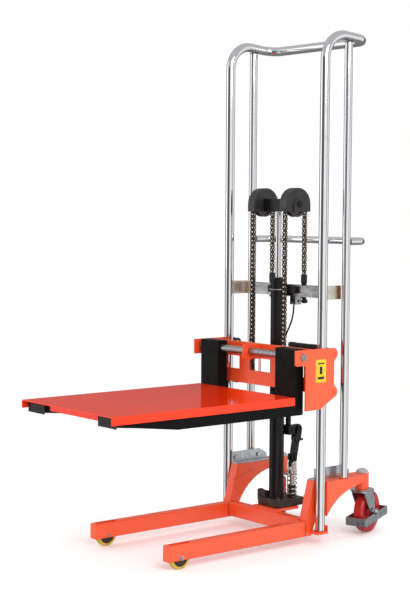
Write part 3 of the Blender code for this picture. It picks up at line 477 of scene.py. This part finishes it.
def block(bm, low, high):
    """A box between two corners, added to a mesh."""
    low, high = Vector(low), Vector(high)
    place = Matrix.Translation((low + high) / 2) @ Matrix.Diagonal((*(high - low), 1))
    bmesh.ops.create_cube(bm, size=1.0, matrix=place)


def weld_bead(name, start, end, radius, material, body):
    """A weld run with the ripples of its passes."""
    start, end = Vector(start), Vector(end)
    count = max(8, int((end - start).length / 0.0016))
    points = [start.lerp(end, i / count) for i in range(count + 1)]
    radii = [radius * (1.0 if i % 2 else 0.82) * (0.55 if i in (0, count) else 1.0) for i in range(count + 1)]
    return pipe(name, points, radius, material, body, sides=2, radii=radii)


def weld_ring(name, centre, ring_radius, radius, material, body):
    """A weld run round the foot of a post."""
    count = int(2 * math.pi * ring_radius / 0.0018)
    turns = [2 * math.pi * i / count for i in range(count + 1)]
    points = [Vector(centre) + Vector((ring_radius * math.cos(turn), ring_radius * math.sin(turn), 0))
              for turn in turns]
    radii = [radius * (1.0 if i % 2 else 0.82) for i in range(count + 1)]
    return pipe(name, points, radius, material, body, sides=2, radii=radii)


# ------------------------------------------------------------------------------------------
# CAD nodes that keep their shape
# ------------------------------------------------------------------------------------------
EDGE_ROUNDING = {"leg": 0.0012, "arm": 0.0016, "cross_beam": 0.0012, "deck": 0.0007, "fork_left": 0.0016,
                 "fork_right": 0.0016, "side_plate": 0.0008, "front_plate": 0.0010, "pump_block": 0.0012,
                 "caster_guard": 0.0007, "crosshead": 0.0009, "chain_anchor": 0.0006, "cross_frame": 0.0006}
NODE_MATERIAL = {"cross_frame": "welded_steel", "fork_rod": "satin_steel", "pump_plunger": "bright_zinc",
                 "sheave_guard_left": "guard_paint", "sheave_guard_right": "guard_paint",
                 "fork_left": "fork_paint", "fork_right": "fork_paint"}


def finish_cad_nodes():
    """Gives every carried-over CAD node its material, smooth round faces and rounded edges."""
    slots = {entry["node"]: entry["material_slot"] for entry in frame["record"]["subparts"]}
    for name, obj in frame["nodes"].items():
        if obj.hide_render:
            continue
        obj.data.materials.clear()
        obj.data.materials.append(MATERIALS[NODE_MATERIAL.get(name, slots[name])])
        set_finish(obj, slots[name])
        obj.data.shade_smooth()
        width = next((size for start, size in EDGE_ROUNDING.items() if name.startswith(start)), 0.0004)
        soften(obj, width)


# ------------------------------------------------------------------------------------------
# mast
# ------------------------------------------------------------------------------------------
def build_mast():
    low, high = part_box("mast_tube")
    bend_top, bend_radius, corner_radius, drop = 1.7405, 0.085, 0.050, math.radians(5)
    corner_z = bend_top + bend_radius * (1 / math.cos(drop) - 1) + bend_radius * math.tan(drop)
    reach = high.y - POST_R
    handle_z = corner_z - (reach - MAST_Y) * math.tan(drop)
    right = [Vector((-POST_X, MAST_Y, low.z)), Vector((-POST_X, MAST_Y, corner_z)),
             Vector((-POST_X, reach, handle_z))]
    left = [Vector((-point.x, point.y, point.z)) for point in reversed(right)]
    radii = [bend_radius, corner_radius, corner_radius, bend_radius]
    pipe("mast_bent_tube", rounded(right + left, radii), POST_R, "chrome", "frame", ["mast_tube"], sides=14)

    low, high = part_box("push_handle")
    radius = (high.z - low.z) / 2
    z = (low.z + high.z) / 2
    corners = [(low.x + radius, low.y, z), (low.x + radius, high.y - radius, z),
               (high.x - radius, high.y - radius, z), (high.x - radius, low.y, z)]
    pipe("push_handle_tube", rounded(corners, [corner_radius] * 2), radius, "chrome", "frame",
         ["push_handle"], sides=12)

    for side, sign in SIDES.items():
        low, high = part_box(f"rear_post_{side}")
        centre = (low + high) / 2
        radius = (high.x - low.x) / 2
        points = [(centre.x, centre.y, low.z + (high.z - low.z) * i / 8) for i in range(9)]
        pipe(f"rear_post_tube_{side}", points, radius, "chrome", "frame", [f"rear_post_{side}"], sides=12)
        weld_ring(f"weld_post_top_{side}", (centre.x, centre.y, high.z - 0.0006), radius, 0.0020, "weld",
                  "frame")
        weld_ring(f"weld_post_foot_{side}", (centre.x, centre.y, low.z + 0.0012), radius + 0.0008, 0.0018,
                  "painted_weld", "frame")
        weld_ring(f"weld_mast_foot_{side}", (sign * POST_X, MAST_Y, 0.0502), POST_R + 0.0008, 0.0020,
                  "painted_weld", "frame")
        handle_y, handle_z = centre.y + radius, middle("push_handle").z
        count = 40
        turns = [2 * math.pi * i / count for i in range(count + 1)]
        ring = [(centre.x + 0.0125 * math.cos(turn), handle_y - 0.001 - 0.0040 * math.cos(turn) ** 2,
                 handle_z + 0.0125 * math.sin(turn)) for turn in turns]
        pipe(f"weld_handle_{side}", ring, 0.0018, "weld", "frame", sides=2,
             radii=[0.0018 if i % 2 else 0.0014 for i in range(count + 1)])
        tie_x = sign * 0.2284
        tie_low, tie_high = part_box("cross_frame")[0].z + 0.030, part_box("cross_frame")[1].z - 0.003
        for place, y in (("front", MAST_Y + 0.0060), ("rear", MAST_Y + 0.1000)):
            weld_bead(f"weld_tie_{place}_{side}", (tie_x, y, tie_low), (tie_x, y, tie_high), 0.0030, "weld",
                      "frame")


def build_clamp():
    """Clip round the cylinder's top and the two cheeks that hold it to the cross frame."""
    radius, z = 0.0293, 0.868
    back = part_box("cross_frame")[0].y + 0.038
    half = [(radius * math.cos(turn), RAM_Y + radius * math.sin(turn))
            for turn in (math.radians(-180 + 180 * i / 32) for i in range(33))]
    points = [(-radius, back, z), *[(x, y, z) for x, y in half], (radius, back, z)]
    pipe("cylinder_clip", points, 0.0022, "zinc", "frame", sides=4)
    bm = bmesh.new()
    for sign in (-1, 1):
        block(bm, (sign * 0.0315, MAST_Y + 0.0462, z - 0.012), (sign * 0.072, MAST_Y + 0.0335, z + 0.012))
    mesh_piece("clamp_cheeks", bm, "black_paint", "frame", edge=0.0012)


# ------------------------------------------------------------------------------------------
# ram, sheaves and chains
# ------------------------------------------------------------------------------------------
def build_cylinder():
    low, high = CYLINDER_LOW, CYLINDER_HIGH
    centre = (0, RAM_Y, 0)
    bottom, top, bore, neck, wall = low.z, high.z, 0.0208, 0.0104, 0.0260
    tube = [(0, bottom + 0.011), (bore, bottom + 0.011), (bore, top - 0.030), (wall, top - 0.030),
            (wall, bottom + 0.004), (wall + 0.0014, bottom + 0.003), (wall + 0.0014, bottom), (0, bottom)]
    turned("cylinder_barrel", tube, centre, "Z", "black_paint", "frame", ["lift_cylinder"], edge=0.0008)
    gland = [(neck, top - 0.0008), (neck + 0.004, top), (wall - 0.001, top), (wall + 0.0016, top - 0.0025),
             (wall + 0.0016, top - 0.012), (wall + 0.0004, top - 0.013), (wall + 0.0004, top - 0.0155),
             (wall + 0.0016, top - 0.0165), (wall + 0.0016, top - 0.0345), (wall, top - 0.036),
             (bore + 0.001, top - 0.030), (neck, top - 0.026)]
    turned("cylinder_gland", gland, centre, "Z", "black_paint", "frame")
    wiper = [(neck, top + 0.0022), (neck + 0.003, top + 0.0022), (neck + 0.006, top + 0.0002),
             (neck, top + 0.0002)]
    turned("rod_wiper", wiper, centre, "Z", "black_rubber", "frame")

    low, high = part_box("piston_rod")
    rod, piston, seal = 0.010, 0.0202, 0.0185
    profile = [(0, high.z), (rod, high.z), (rod, low.z + 0.030), (piston, low.z + 0.029),
               (piston, low.z + 0.018), (seal, low.z + 0.017), (seal, low.z + 0.012), (piston, low.z + 0.011),
               (piston, low.z), (0, low.z)]
    turned("polished_rod", profile, centre, "Z", "chrome", "ram", ["piston_rod"])


def chain_path():
    """Pin places (Y, Z) along one chain, from the carriage over the sheave to the cross frame."""
    low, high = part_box("chain_front_left")
    rear_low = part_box("chain_rear_left")[0].z
    front_y, rear_y = RAM_Y - CHAIN_PITCH_R, RAM_Y + CHAIN_PITCH_R
    runs = (high.z - low.z, math.pi * CHAIN_PITCH_R, high.z - rear_low)
    count = round(sum(runs) / CHAIN_PITCH)
    end_gap = 0.004
    total = sum(runs) - 2 * end_gap
    pins = []
    for i in range(count + 1):
        way = total * i / count + end_gap
        if way <= runs[0]:
            pins.append((front_y, low.z + way))
        elif way <= runs[0] + runs[1]:
            turn = math.pi - (way - runs[0]) / CHAIN_PITCH_R
            pins.append((RAM_Y + CHAIN_PITCH_R * math.cos(turn), high.z + CHAIN_PITCH_R * math.sin(turn)))
        else:
            pins.append((rear_y, high.z - (way - runs[0] - runs[1])))
    first = sum(1 for y, z in pins if y == front_y)
    last = sum(1 for y, z in pins if y == rear_y)
    return pins, first, len(pins) - last


def link_outline(a, b, radius, waist):
    """Waisted side plate about two pins."""
    a, b = Vector(a), Vector(b)
    along = (b - a).normalized()
    across = Vector((-along.y, along.x))
    points = []
    for centre, sign in ((a, -1), (b, 1)):
        for i in range(9):
            turn = math.radians(-75 + 150 * i / 8)
            points.append(centre + sign * (along * math.cos(turn) + across * math.sin(turn)) * radius)
        points.append((a + b) / 2 + across * waist * sign)
    return points


def build_chain_run(name, x, pins, phase, body, replaces=()):
    """Roller chain links between pins: outer and inner plates by turns, rollers, and riveted pins."""
    plates, bright = bmesh.new(), bmesh.new()
    for i, (a, b) in enumerate(zip(pins, pins[1:])):
        outer = (i + phase) % 2 == 0
        inside, outside = (0.0058, 0.0073) if outer else (0.0041, 0.0056)
        outline = link_outline(a, b, 0.0066, 0.0040)
        for sign in (-1, 1):
            walls = [[plates.verts.new((x + sign * depth, y, z)) for y, z in outline]
                     for depth in (inside, outside)]
            plates.faces.new(walls[0])
            plates.faces.new(walls[1])
            for j in range(len(outline)):
                k = (j + 1) % len(outline)
                plates.faces.new((walls[0][j], walls[0][k], walls[1][k], walls[1][j]))
    for y, z in pins:
        drum(bright, (x, y, z), 0.0050, 0.0080, "X", 14)
        drum(bright, (x, y, z), 0.0026, 0.0159, "X", 10)
    first = mesh_piece(f"{name}_links", plates, "chain_steel", body, replaces, angle=30)
    second = mesh_piece(f"{name}_rivets", bright, "rivet", body, angle=30, slot="chain_steel")
    return first, second


def build_chains():
    pins, first, last = chain_path()
    for side, sign in SIDES.items():
        x = sign * CHAIN_X
        front = build_chain_run(f"chain_front_{side}", x, pins[:first], 0, "ram", [f"chain_front_{side}"])
        build_chain_run(f"chain_wrap_{side}", x, pins[first - 1:last + 1], first - 1, "ram")
        rear = build_chain_run(f"chain_rear_{side}", x, pins[last:], last, "frame", [f"chain_rear_{side}"])
        for piece in front:
            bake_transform(unparented(piece))
        for piece in rear:
            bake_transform(unparented(piece))


def unparented(obj):
    """Frees a piece whose mesh is in the row frame from its parent and its body."""
    obj.parent = None
    obj.matrix_world = Matrix()
    if "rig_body" in obj:
        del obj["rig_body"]
    return obj


def build_sheaves():
    for side, sign in SIDES.items():
        centre = middle(f"sheave_{side}")
        half, groove, dish = 0.0112, 0.0084, 0.0070
        profile = mirrored([(0.0084, half), (0.017, half), (0.019, dish), (0.034, dish), (0.036, half),
                            (0.0439, half), (0.0445, half - 0.0006), (0.0445, groove + 0.0004),
                            (0.0405, groove), (0.0395, groove - 0.001)])
        turned(f"sheave_wheel_{side}", profile, centre, "X", "dark_steel", f"sheave_{side}",
               [f"sheave_{side}"], slot="steel")
        bm = bmesh.new()
        drum(bm, (sign * 0.1079, RAM_Y, SHEAVE_Z), 0.0120, 0.0022, "X", 32)
        mesh_piece(f"sheave_pin_cap_{side}", bm, "black_paint", "ram", edge=0.0006)


# ------------------------------------------------------------------------------------------
# carriage
# ------------------------------------------------------------------------------------------
def build_carriage():
    for side, sign in SIDES.items():
        for level in ("upper", "lower"):
            node = f"guide_roller_{level}_{side}"
            half, rim, waist = 0.0100, 0.0185, 0.0170
            heights = [half * 0.75 * (1 - i / 5) for i in range(11)]
            crown = [(waist + 0.0011 * (height / half) ** 2, height) for height in heights]
            face = [(0.0064, half), (0.0095, half), (0.0105, half - 0.0012), (0.0150, half - 0.0012),
                    (0.0160, half), (rim - 0.0008, half), (rim, half - 0.0008)]
            profile = face + crown + [(radius, -height) for radius, height in reversed(face)]
            turned(f"{node}_wheel", profile, middle(node), "X", "black_plastic", node, [node], steps=40)
            bm = bmesh.new()
            drum(bm, (sign * 0.2349, middle(node).y, middle(node).z), 0.0092, 0.0012, "X", 24)
            mesh_piece(f"{node}_washer", bm, "zinc", "carriage", edge=0.0003)
            ring = [(0.0052, 0.0006), (0.0072, 0.0006), (0.0072, -0.0006), (0.0052, -0.0006)]
            turned(f"{node}_pin_weld", ring, (sign * 0.2707, middle(node).y, middle(node).z), "X",
                   "painted_weld", "carriage", steps=24)
        low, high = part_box("fork_rod")
        face = low.x if sign < 0 else high.x
        bm = bmesh.new()
        drum(bm, (face - sign * 0.0010, middle("fork_rod").y, middle("fork_rod").z), 0.0122, 0.0016, "X", 32)
        mesh_piece(f"fork_rod_face_{side}", bm, "zinc", "carriage", edge=0.0005)
        weld_bead(f"weld_cheek_{side}", (sign * 0.2635, MAST_Y - 0.0580, 0.536),
                  (sign * 0.2635, MAST_Y - 0.0580, 0.678), 0.0026, "painted_weld", "carriage")
    for side, sign in SIDES.items():
        x, y = sign * 0.0036, MAST_Y - 0.0656
        weld_bead(f"weld_lug_{side}", (x, y, 0.580), (x, y, 0.676), 0.0018, "painted_weld", "carriage")
    build_label()
    build_fork_caps()


def build_label():
    """Yellow plate with three plain dark bars, in place of any printed label."""
    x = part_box("side_plate_left")[1].x
    low_y, high_y, low_z, high_z = MAST_Y - 0.053, MAST_Y - 0.005, 0.566, 0.644
    corner = 0.004
    outline = []
    for centre, start in (((high_y - corner, high_z - corner), 0), ((low_y + corner, high_z - corner), 90),
                          ((low_y + corner, low_z + corner), 180), ((high_y - corner, low_z + corner), 270)):
        outline += arc(centre, corner, start, start + 90, 5)
    plate("label_plate", outline, (x + 0.0001, x + 0.0009), "yellow_label", "carriage", edge=0.0002,
          slot="orange_paint")
    bm = bmesh.new()
    middle_y = (low_y + high_y) / 2
    for low, high, half in ((0.6285, 0.6325, 0.015), (0.594, 0.620, 0.006), (0.577, 0.5855, 0.015)):
        block(bm, (x + 0.0008, middle_y - half, low), (x + 0.0011, middle_y + half, high))
    mesh_piece("label_bars", bm, "black_plastic", "carriage")


def build_fork_caps():
    """Plastic plugs in the open tips of the channel forks."""
    for side in SIDES:
        low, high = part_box(f"fork_{side}")
        bm = bmesh.new()
        block(bm, (low.x - 0.0004, low.y - 0.0022, low.z + 0.0225), (high.x + 0.0004, low.y + 0.0002, 0.5170))
        mesh_piece(f"fork_cap_{side}", bm, "black_plastic", "carriage", edge=0.0010, slot="black_paint")


# ------------------------------------------------------------------------------------------
# pump and release
# ------------------------------------------------------------------------------------------
def capsule(start, end, radius_a, radius_b, steps=16):
    direction = math.degrees(math.atan2(end[1] - start[1], end[0] - start[0]))
    return (arc(start, radius_a, direction + 90, direction + 270, steps)
            + arc(end, radius_b, direction - 90, direction + 90, steps))


def build_pump():
    """Bell-crank lever with its pins, tube and T-grip, the return spring and the block's fasteners."""
    x = middle("pump_plunger").x
    strap = capsule(LEVER_PIVOT, LEVER_EYE, 0.0145, 0.0165)
    plate("lever_strap", strap, (x - 0.0070, x + 0.0070), "black_paint", "pump_lever", ["pump_lever"],
          edge=0.0016)
    bm = bmesh.new()
    drum(bm, (x, *LEVER_PIVOT), 0.0145, 0.0238, "X", 40)
    mesh_piece("lever_hub", bm, "black_paint", "pump_lever", edge=0.0010)
    bm = bmesh.new()
    drum(bm, (x, *LEVER_PIVOT), 0.0058, 0.0520, "X", 24)
    drum(bm, (x, *LEVER_EYE), 0.0058, 0.0330, "X", 24)
    mesh_piece("lever_pins", bm, "black_paint", "pump_lever", edge=0.0006)
    foot = (x, LEVER_PIVOT[0], LEVER_PIVOT[1] + 0.010)
    stem = rounded([foot, (x, LEVER_PIVOT[0], 0.480), (x, *GRIP)], [0.09])
    pipe("lever_stem", stem, 0.0095, "black_paint", "pump_lever", sides=8)
    low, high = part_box("pump_lever")
    half, radius = (high.x - low.x) / 2, 0.0108
    profile = mirrored([(0, half), (0.006, half), (0.0095, half - 0.002), (radius, half - 0.006),
                        (radius, half - 0.030), (0.0100, half - 0.034)])
    turned("lever_grip_bar", profile, ((low.x + high.x) / 2, *GRIP), "X", "black_rubber", "pump_lever",
           steps=40, slot="black_paint")
    ring = [(0.0095, 0.0016), (0.0118, 0), (0.0095, -0.0016)]
    turned("lever_collar", ring, (x, LEVER_PIVOT[0], 0.400), "Z", "black_paint", "pump_lever", steps=32)

    low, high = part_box("pump_spring")
    wire, turns, per_turn = 0.0026, 5.5, 36
    radius = (high.x - low.x) / 2 - wire
    count = int(turns * per_turn)
    centre = middle("pump_plunger")
    points = []
    for i in range(count + 1):
        turn = 2 * math.pi * i / per_turn
        lift = min(1.0, max(0.0, (i - 0.5 * per_turn) / (count - per_turn)))
        points.append((x + radius * math.cos(turn), centre.y + radius * math.sin(turn),
                       low.z + wire + (high.z - low.z - 2 * wire) * lift))
    spring = pipe("return_spring", points, wire, "bright_zinc", "frame", ["pump_spring"], sides=4,
                  slot="zinc")
    spring = curve_to_mesh(spring)
    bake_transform(spring)

    low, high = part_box("pump_block")
    bm = bmesh.new()
    for sign_x in (-1, 1):
        for y in (low.y + 0.013, MAST_Y + 0.060)[sign_x < 0:]:
            hex_prism(bm, (sign_x * 0.044, y, BLOCK_TOP + 0.0028), 0.0075, 0.0052, "Z")
    mesh_piece("block_bolts", bm, "dark_steel", "frame", edge=0.0003, slot="steel")
    bm = bmesh.new()
    hex_prism(bm, (-0.060, MAST_Y + 0.050, BLOCK_TOP - 0.013), 0.009, 0.0075, "X")
    drum(bm, (-0.058, MAST_Y + 0.050, BLOCK_TOP - 0.013), 0.0105, 0.002, "X", 32)
    mesh_piece("drain_plug", bm, "brass", "frame", edge=0.0003, slot="zinc")
    sleeve = [(0.0034, 0.046), (0.0052, 0.046), (0.0056, 0.044), (0.0056, 0.018), (0.0082, 0.016),
              (0.0082, 0.004), (0.0034, 0.004)]
    turned("cable_end_fitting", sleeve, (*VALVE, 0.1370), "Z", "brass", "frame", steps=32, slot="zinc")


def curve_to_mesh(obj):
    """Turns a curve piece into a smooth-shaded mesh, which can have its places in the row frame."""
    graph = bpy.context.evaluated_depsgraph_get()
    mesh = bpy.data.meshes.new_from_object(obj.evaluated_get(graph))
    made = bpy.data.objects.new(obj.name + "_mesh", mesh)
    bpy.context.scene.collection.objects.link(made)
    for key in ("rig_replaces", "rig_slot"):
        if key in obj:
            made[key] = obj[key]
    bpy.data.objects.remove(obj, do_unlink=True)
    mesh.shade_smooth()
    return made


def build_release():
    """Sheath of the pull cable, and the lever's ball knob."""
    route = [(0.040, 0.058, 0.8140), (0.033, 0.062, 0.785), (0.019, 0.065, 0.750), (-0.010, 0.067, 0.700),
             (-0.029, 0.067, 0.640), (-0.035, 0.067, 0.560), (-0.034, 0.068, 0.420), (-0.034, 0.070, 0.280),
             (-0.035, 0.073, 0.190), (-0.035, 0.075, 0.1408)]
    knots = [Vector((x, MAST_Y + y, z)) for x, y, z in route]
    padded = [knots[0] * 2 - knots[1], *knots, knots[-1] * 2 - knots[-2]]
    points = []
    for a, b, c, d in zip(padded, padded[1:], padded[2:], padded[3:]):
        for step in range(12):
            t = step / 12
            points.append(0.5 * (2 * b + (c - a) * t + (2 * a - 5 * b + 4 * c - d) * t ** 2
                                 + (3 * b - a - 3 * c + d) * t ** 3))
    points.append(knots[-1])
    pipe("release_cable_sheath", points, 0.003, "black_plastic", "frame", ["release_cable"], sides=5)
    knob = middle("release_lever")
    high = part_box("release_lever")[1]
    profile = [(0, 0.009), (0.004, 0.0085), (0.0068, 0.0058), (0.0078, 0.002), (0.0072, -0.003),
               (0.005, -0.0068), (0.0035, -0.008), (0, -0.008)]
    turned("release_ball", profile, (knob.x, high.y - 0.0088, 0.8245), "Y", "black_plastic", "release_lever",
           steps=40, slot="black_paint")


# ------------------------------------------------------------------------------------------
# base and wheels
# ------------------------------------------------------------------------------------------
def build_base():
    for side, sign in SIDES.items():
        low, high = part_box(f"load_roller_{side}")
        centre = (low + high) / 2
        rim, half = (high.z - low.z) / 2, (high.x - low.x) / 2
        tread = mirrored([(0.0290, half - 0.0010), (rim - 0.0030, half), (rim - 0.0008, half - 0.0010),
                          (rim, half - 0.0030)])
        roller = f"load_roller_{side}"
        turned(f"{roller}_tread", tread, centre, "X", "amber_polyurethane", roller, [roller])
        hub = mirrored([(0.0055, half), (0.0110, half), (0.0125, half - 0.0030), (0.0250, half - 0.0030),
                        (0.0265, half - 0.0006), (0.0289, half - 0.0006)])
        turned(f"{roller}_hub", hub, centre, "X", "cast_iron", roller, slot="amber_polyurethane")
        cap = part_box(f"stem_cap_{side}")
        profile = [(0, cap[1].z), *[(0.0222 * math.sin(turn), cap[0].z + 0.003 + 0.0130 * math.cos(turn))
                                    for turn in (math.radians(9 * i) for i in range(1, 11))],
                   (0.0222, cap[0].z), (0, cap[0].z)]
        place = middle(f"stem_cap_{side}")
        turned(f"stem_dome_{side}", profile, (place.x, place.y, 0), "Z", "grey_plastic", "frame",
               [f"stem_cap_{side}"], steps=48)
        inner = sign * LEG_IN
        weld_bead(f"weld_beam_front_{side}", (inner, MAST_Y - 0.0485, 0.036), (inner, MAST_Y - 0.0485, 0.080),
                  0.0024, "painted_weld", "frame")
        weld_bead(f"weld_beam_top_{side}", (inner - sign * 0.0006, MAST_Y - 0.046, 0.0838),
                  (inner - sign * 0.0006, MAST_Y - 0.014, 0.0838), 0.0022, "painted_weld", "frame")
        for place_x in (0.1850, 0.2180):
            weld_bead(f"weld_leg_{side}_{round(place_x * 1000)}", (sign * place_x, MAST_Y - 0.0412, 0.033),
                      (sign * place_x, MAST_Y - 0.0412, 0.079), 0.0016, "painted_weld", "frame")
        weld_bead(f"weld_arm_seam_{side}", (inner, MAST_Y - 0.0275, 0.163), (inner, MAST_Y + 0.069, 0.194),
                  0.0010, "painted_weld", "frame")
        bm = bmesh.new()
        drum(bm, (sign * 0.2192, centre.y, centre.z), 0.0082, 0.0016, "X", 32)
        hex_prism(bm, (sign * 0.2215, centre.y, centre.z), 0.0062, 0.0036, "X")
        mesh_piece(f"axle_end_{side}", bm, "zinc", "frame", edge=0.0004)


def build_casters():
    for side in SIDES:
        joint = next(j for j in frame["joints"] if j["name"] == f"caster_wheel_spin_{side}")
        yaw = math.atan2(joint["axis"][1], joint["axis"][0])
        centre = Vector(joint["pos_m"])
        half, rim = 0.018, 0.075
        node = f"caster_wheel_{side}"
        tread = mirrored([(0.0560, half - 0.0022), (0.0590, half - 0.0006), (0.0690, half),
                          (0.0725, half - 0.0022), (0.0743, half - 0.0055), (rim, half - 0.0090)])
        turned(f"{node}_tread", tread, centre, "X", "red_polyurethane", node, [node], steps=96, yaw=yaw)
        web = 0.0055
        core = mirrored([(0.0064, half + 0.0015), (0.0160, half + 0.0015), (0.0180, half - 0.002),
                         (0.0205, web), (0.0440, web), (0.0475, half - 0.0035), (0.0558, half - 0.0025)])
        turned(f"{node}_core", core, centre, "X", "red_polyurethane", node, steps=96, yaw=yaw)
        bm = bmesh.new()
        turn = Matrix.Translation(centre) @ Matrix.Rotation(yaw, 4, "Z")
        for i in range(6):
            spoke = turn @ Matrix.Rotation(math.pi * i / 3, 4, "X") @ Matrix.Translation((0, 0.0325, 0))
            bmesh.ops.create_cube(bm, size=1.0, matrix=spoke @ Matrix.Diagonal((0.0230, 0.0310, 0.0050, 1)))
        mesh_piece(f"{node}_ribs", bm, "red_polyurethane", node, edge=0.0012)
        cap = [(0.0064, half + 0.0032), (0.0110, half + 0.0032), (0.0128, half + 0.0020),
               (0.0128, half + 0.0005), (0.0064, half + 0.0005)]
        for end in (-1, 1):
            profile = [(radius, end * height) for radius, height in cap]
            turned(f"{node}_bearing_{'inner' if end < 0 else 'outer'}", profile, centre, "X", "zinc", node,
                   steps=40, yaw=yaw)
        low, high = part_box(f"caster_race_{side}")
        place = (low + high) / 2
        race = [(0, high.z), (0.0400, high.z), (0.0430, high.z - 0.0008), (0.0440, high.z - 0.0020),
                (0.0420, high.z - 0.0026), (0.0420, high.z - 0.0031), (0.0440, high.z - 0.0037),
                (0.0425, low.z + 0.0006), (0.0400, low.z), (0, low.z)]
        turned(f"swivel_race_{side}", race, (place.x, place.y, 0), "Z", "zinc", "frame",
               [f"caster_race_{side}"])


# ------------------------------------------------------------------------------------------
# stage, light and camera
# ------------------------------------------------------------------------------------------
def build_stage():
    mesh = bpy.data.meshes.new("studio_floor")
    bm = bmesh.new()
    bmesh.ops.create_circle(bm, cap_ends=True, segments=96, radius=1.9)
    bm.to_mesh(mesh)
    bm.free()
    floor = bpy.data.objects.new("studio_floor", mesh)
    bpy.context.scene.collection.objects.link(floor)
    plain = bpy.data.materials.new("studio_floor")
    plain.use_nodes = True
    shader = plain.node_tree.nodes["Principled BSDF"]
    shader.inputs["Base Color"].default_value = (0.96, 0.96, 0.96, 1)
    shader.inputs["Roughness"].default_value = 0.9
    shader.inputs["Specular IOR Level"].default_value = 0.0
    shader.inputs["Emission Color"].default_value = (1, 1, 1, 1)
    shader.inputs["Emission Strength"].default_value = 0.12
    mesh.materials.append(plain)
    floor.visible_glossy = False


def build_world():
    """White studio; polished pieces see upright dark flags, a grey ceiling and a darker ground instead."""
    world = bpy.data.worlds.new("studio")
    bpy.context.scene.world = world
    world.use_nodes = True
    tree = world.node_tree
    place = tree.nodes.new("ShaderNodeTexCoord")
    split = tree.nodes.new("ShaderNodeSeparateXYZ")
    tree.links.new(place.outputs["Generated"], split.inputs[0])
    angle = tree.nodes.new("ShaderNodeMath")
    angle.operation = "ARCTAN2"
    tree.links.new(split.outputs["Y"], angle.inputs[0])
    tree.links.new(split.outputs["X"], angle.inputs[1])
    turn = tree.nodes.new("ShaderNodeMapRange")
    for socket, value in zip(turn.inputs[1:5], (-math.pi, math.pi, 0, 1)):
        socket.default_value = value
    tree.links.new(angle.outputs[0], turn.inputs[0])
    bands = tree.nodes.new("ShaderNodeValToRGB")
    bands.color_ramp.interpolation = "EASE"
    stops = [(0.00, 0.18), (0.077, 0.15), (0.090, 1.0), (0.177, 1.0), (0.202, 0.10), (0.345, 0.14),
             (0.369, 1.0), (0.536, 1.0), (0.553, 0.40), (0.588, 0.40), (0.605, 0.95), (0.702, 0.95),
             (0.718, 0.22), (1.00, 0.18)]
    ramp = bands.color_ramp
    ramp.elements[0].position, ramp.elements[1].position = stops[0][0], stops[-1][0]
    for position, value in stops[1:-1]:
        ramp.elements.new(position).color = (value, value, value, 1)
    for element, (position, value) in zip(sorted(ramp.elements, key=lambda e: e.position), stops):
        element.color = (value, value, value, 1)
    tree.links.new(turn.outputs[0], bands.inputs[0])
    ceiling = tree.nodes.new("ShaderNodeMapRange")
    for socket, value in zip(ceiling.inputs[1:5], (0.16, 0.34, 0, 1)):
        socket.default_value = value
    tree.links.new(split.outputs["Z"], ceiling.inputs[0])
    lifted = tree.nodes.new("ShaderNodeMix")
    lifted.data_type = "RGBA"
    lifted.inputs[7].default_value = (0.55, 0.55, 0.55, 1)
    tree.links.new(ceiling.outputs[0], lifted.inputs["Factor"])
    tree.links.new(bands.outputs[0], lifted.inputs[6])
    ground = tree.nodes.new("ShaderNodeMapRange")
    for socket, value in zip(ground.inputs[1:5], (-0.62, -0.30, 1, 0)):
        socket.default_value = value
    tree.links.new(split.outputs["Z"], ground.inputs[0])
    lowered = tree.nodes.new("ShaderNodeMix")
    lowered.data_type = "RGBA"
    lowered.inputs[7].default_value = (0.22, 0.22, 0.22, 1)
    tree.links.new(ground.outputs[0], lowered.inputs["Factor"])
    tree.links.new(lifted.outputs[2], lowered.inputs[6])
    path = tree.nodes.new("ShaderNodeLightPath")
    choose = tree.nodes.new("ShaderNodeMix")
    choose.data_type = "RGBA"
    choose.inputs[6].default_value = (1, 1, 1, 1)
    tree.links.new(path.outputs["Is Glossy Ray"], choose.inputs["Factor"])
    tree.links.new(lowered.outputs[2], choose.inputs[7])
    tree.links.new(choose.outputs[2], tree.nodes["Background"].inputs["Color"])
    tree.nodes["Background"].inputs["Strength"].default_value = 1.0


def area_light(name, place, target, size, power):
    light = bpy.data.lights.new(name, "AREA")
    light.shape = "RECTANGLE"
    light.size, light.size_y = size
    light.energy = power
    obj = bpy.data.objects.new(name, light)
    obj.location = place
    obj.rotation_euler = (Vector(target) - Vector(place)).to_track_quat("-Z", "Y").to_euler()
    bpy.context.scene.collection.objects.link(obj)


def build_camera():
    """Long lens in front and to the operator's left, a little above the deck."""
    turn, down, roll = math.radians(50.44), math.radians(3.87), math.radians(0.38)
    stand = (3.677, MAST_Y - 3.334, 1.141)
    frame_height = 600
    right = Vector((math.cos(turn), math.sin(turn), 0))
    back = Vector((math.sin(turn) * math.cos(down), -math.cos(turn) * math.cos(down), math.sin(down)))
    up = back.cross(right)
    tilted_right = right * math.cos(roll) + up * math.sin(roll)
    tilted_up = up * math.cos(roll) - right * math.sin(roll)
    camera = bpy.data.cameras.new("camera")
    camera.lens = 84.38
    camera.sensor_width = 36
    camera.shift_x = -4.4 / frame_height
    camera.shift_y = 6.6 / frame_height
    camera.clip_end = 100
    obj = bpy.data.objects.new("camera", camera)
    rows = zip(tilted_right, tilted_up, back, stand)
    obj.matrix_world = Matrix([*rows, (0, 0, 0, 1)])
    bpy.context.scene.collection.objects.link(obj)
    bpy.context.scene.camera = obj


build_mast()
build_clamp()
build_cylinder()
build_chains()
build_sheaves()
build_carriage()
build_pump()
build_release()
build_base()
build_casters()
finish_cad_nodes()
build_stage()
build_world()
area_light("key", (3.6, -1.2, 3.0), (0, 0, 0.7), (2.2, 2.2), 70)
area_light("fill", (-3.0, -2.0, 2.0), (0, 0, 0.7), (2.5, 2.5), 10)
build_camera()

bpy.context.scene.view_settings.view_transform = "Standard"

bpy.context.view_layer.update()
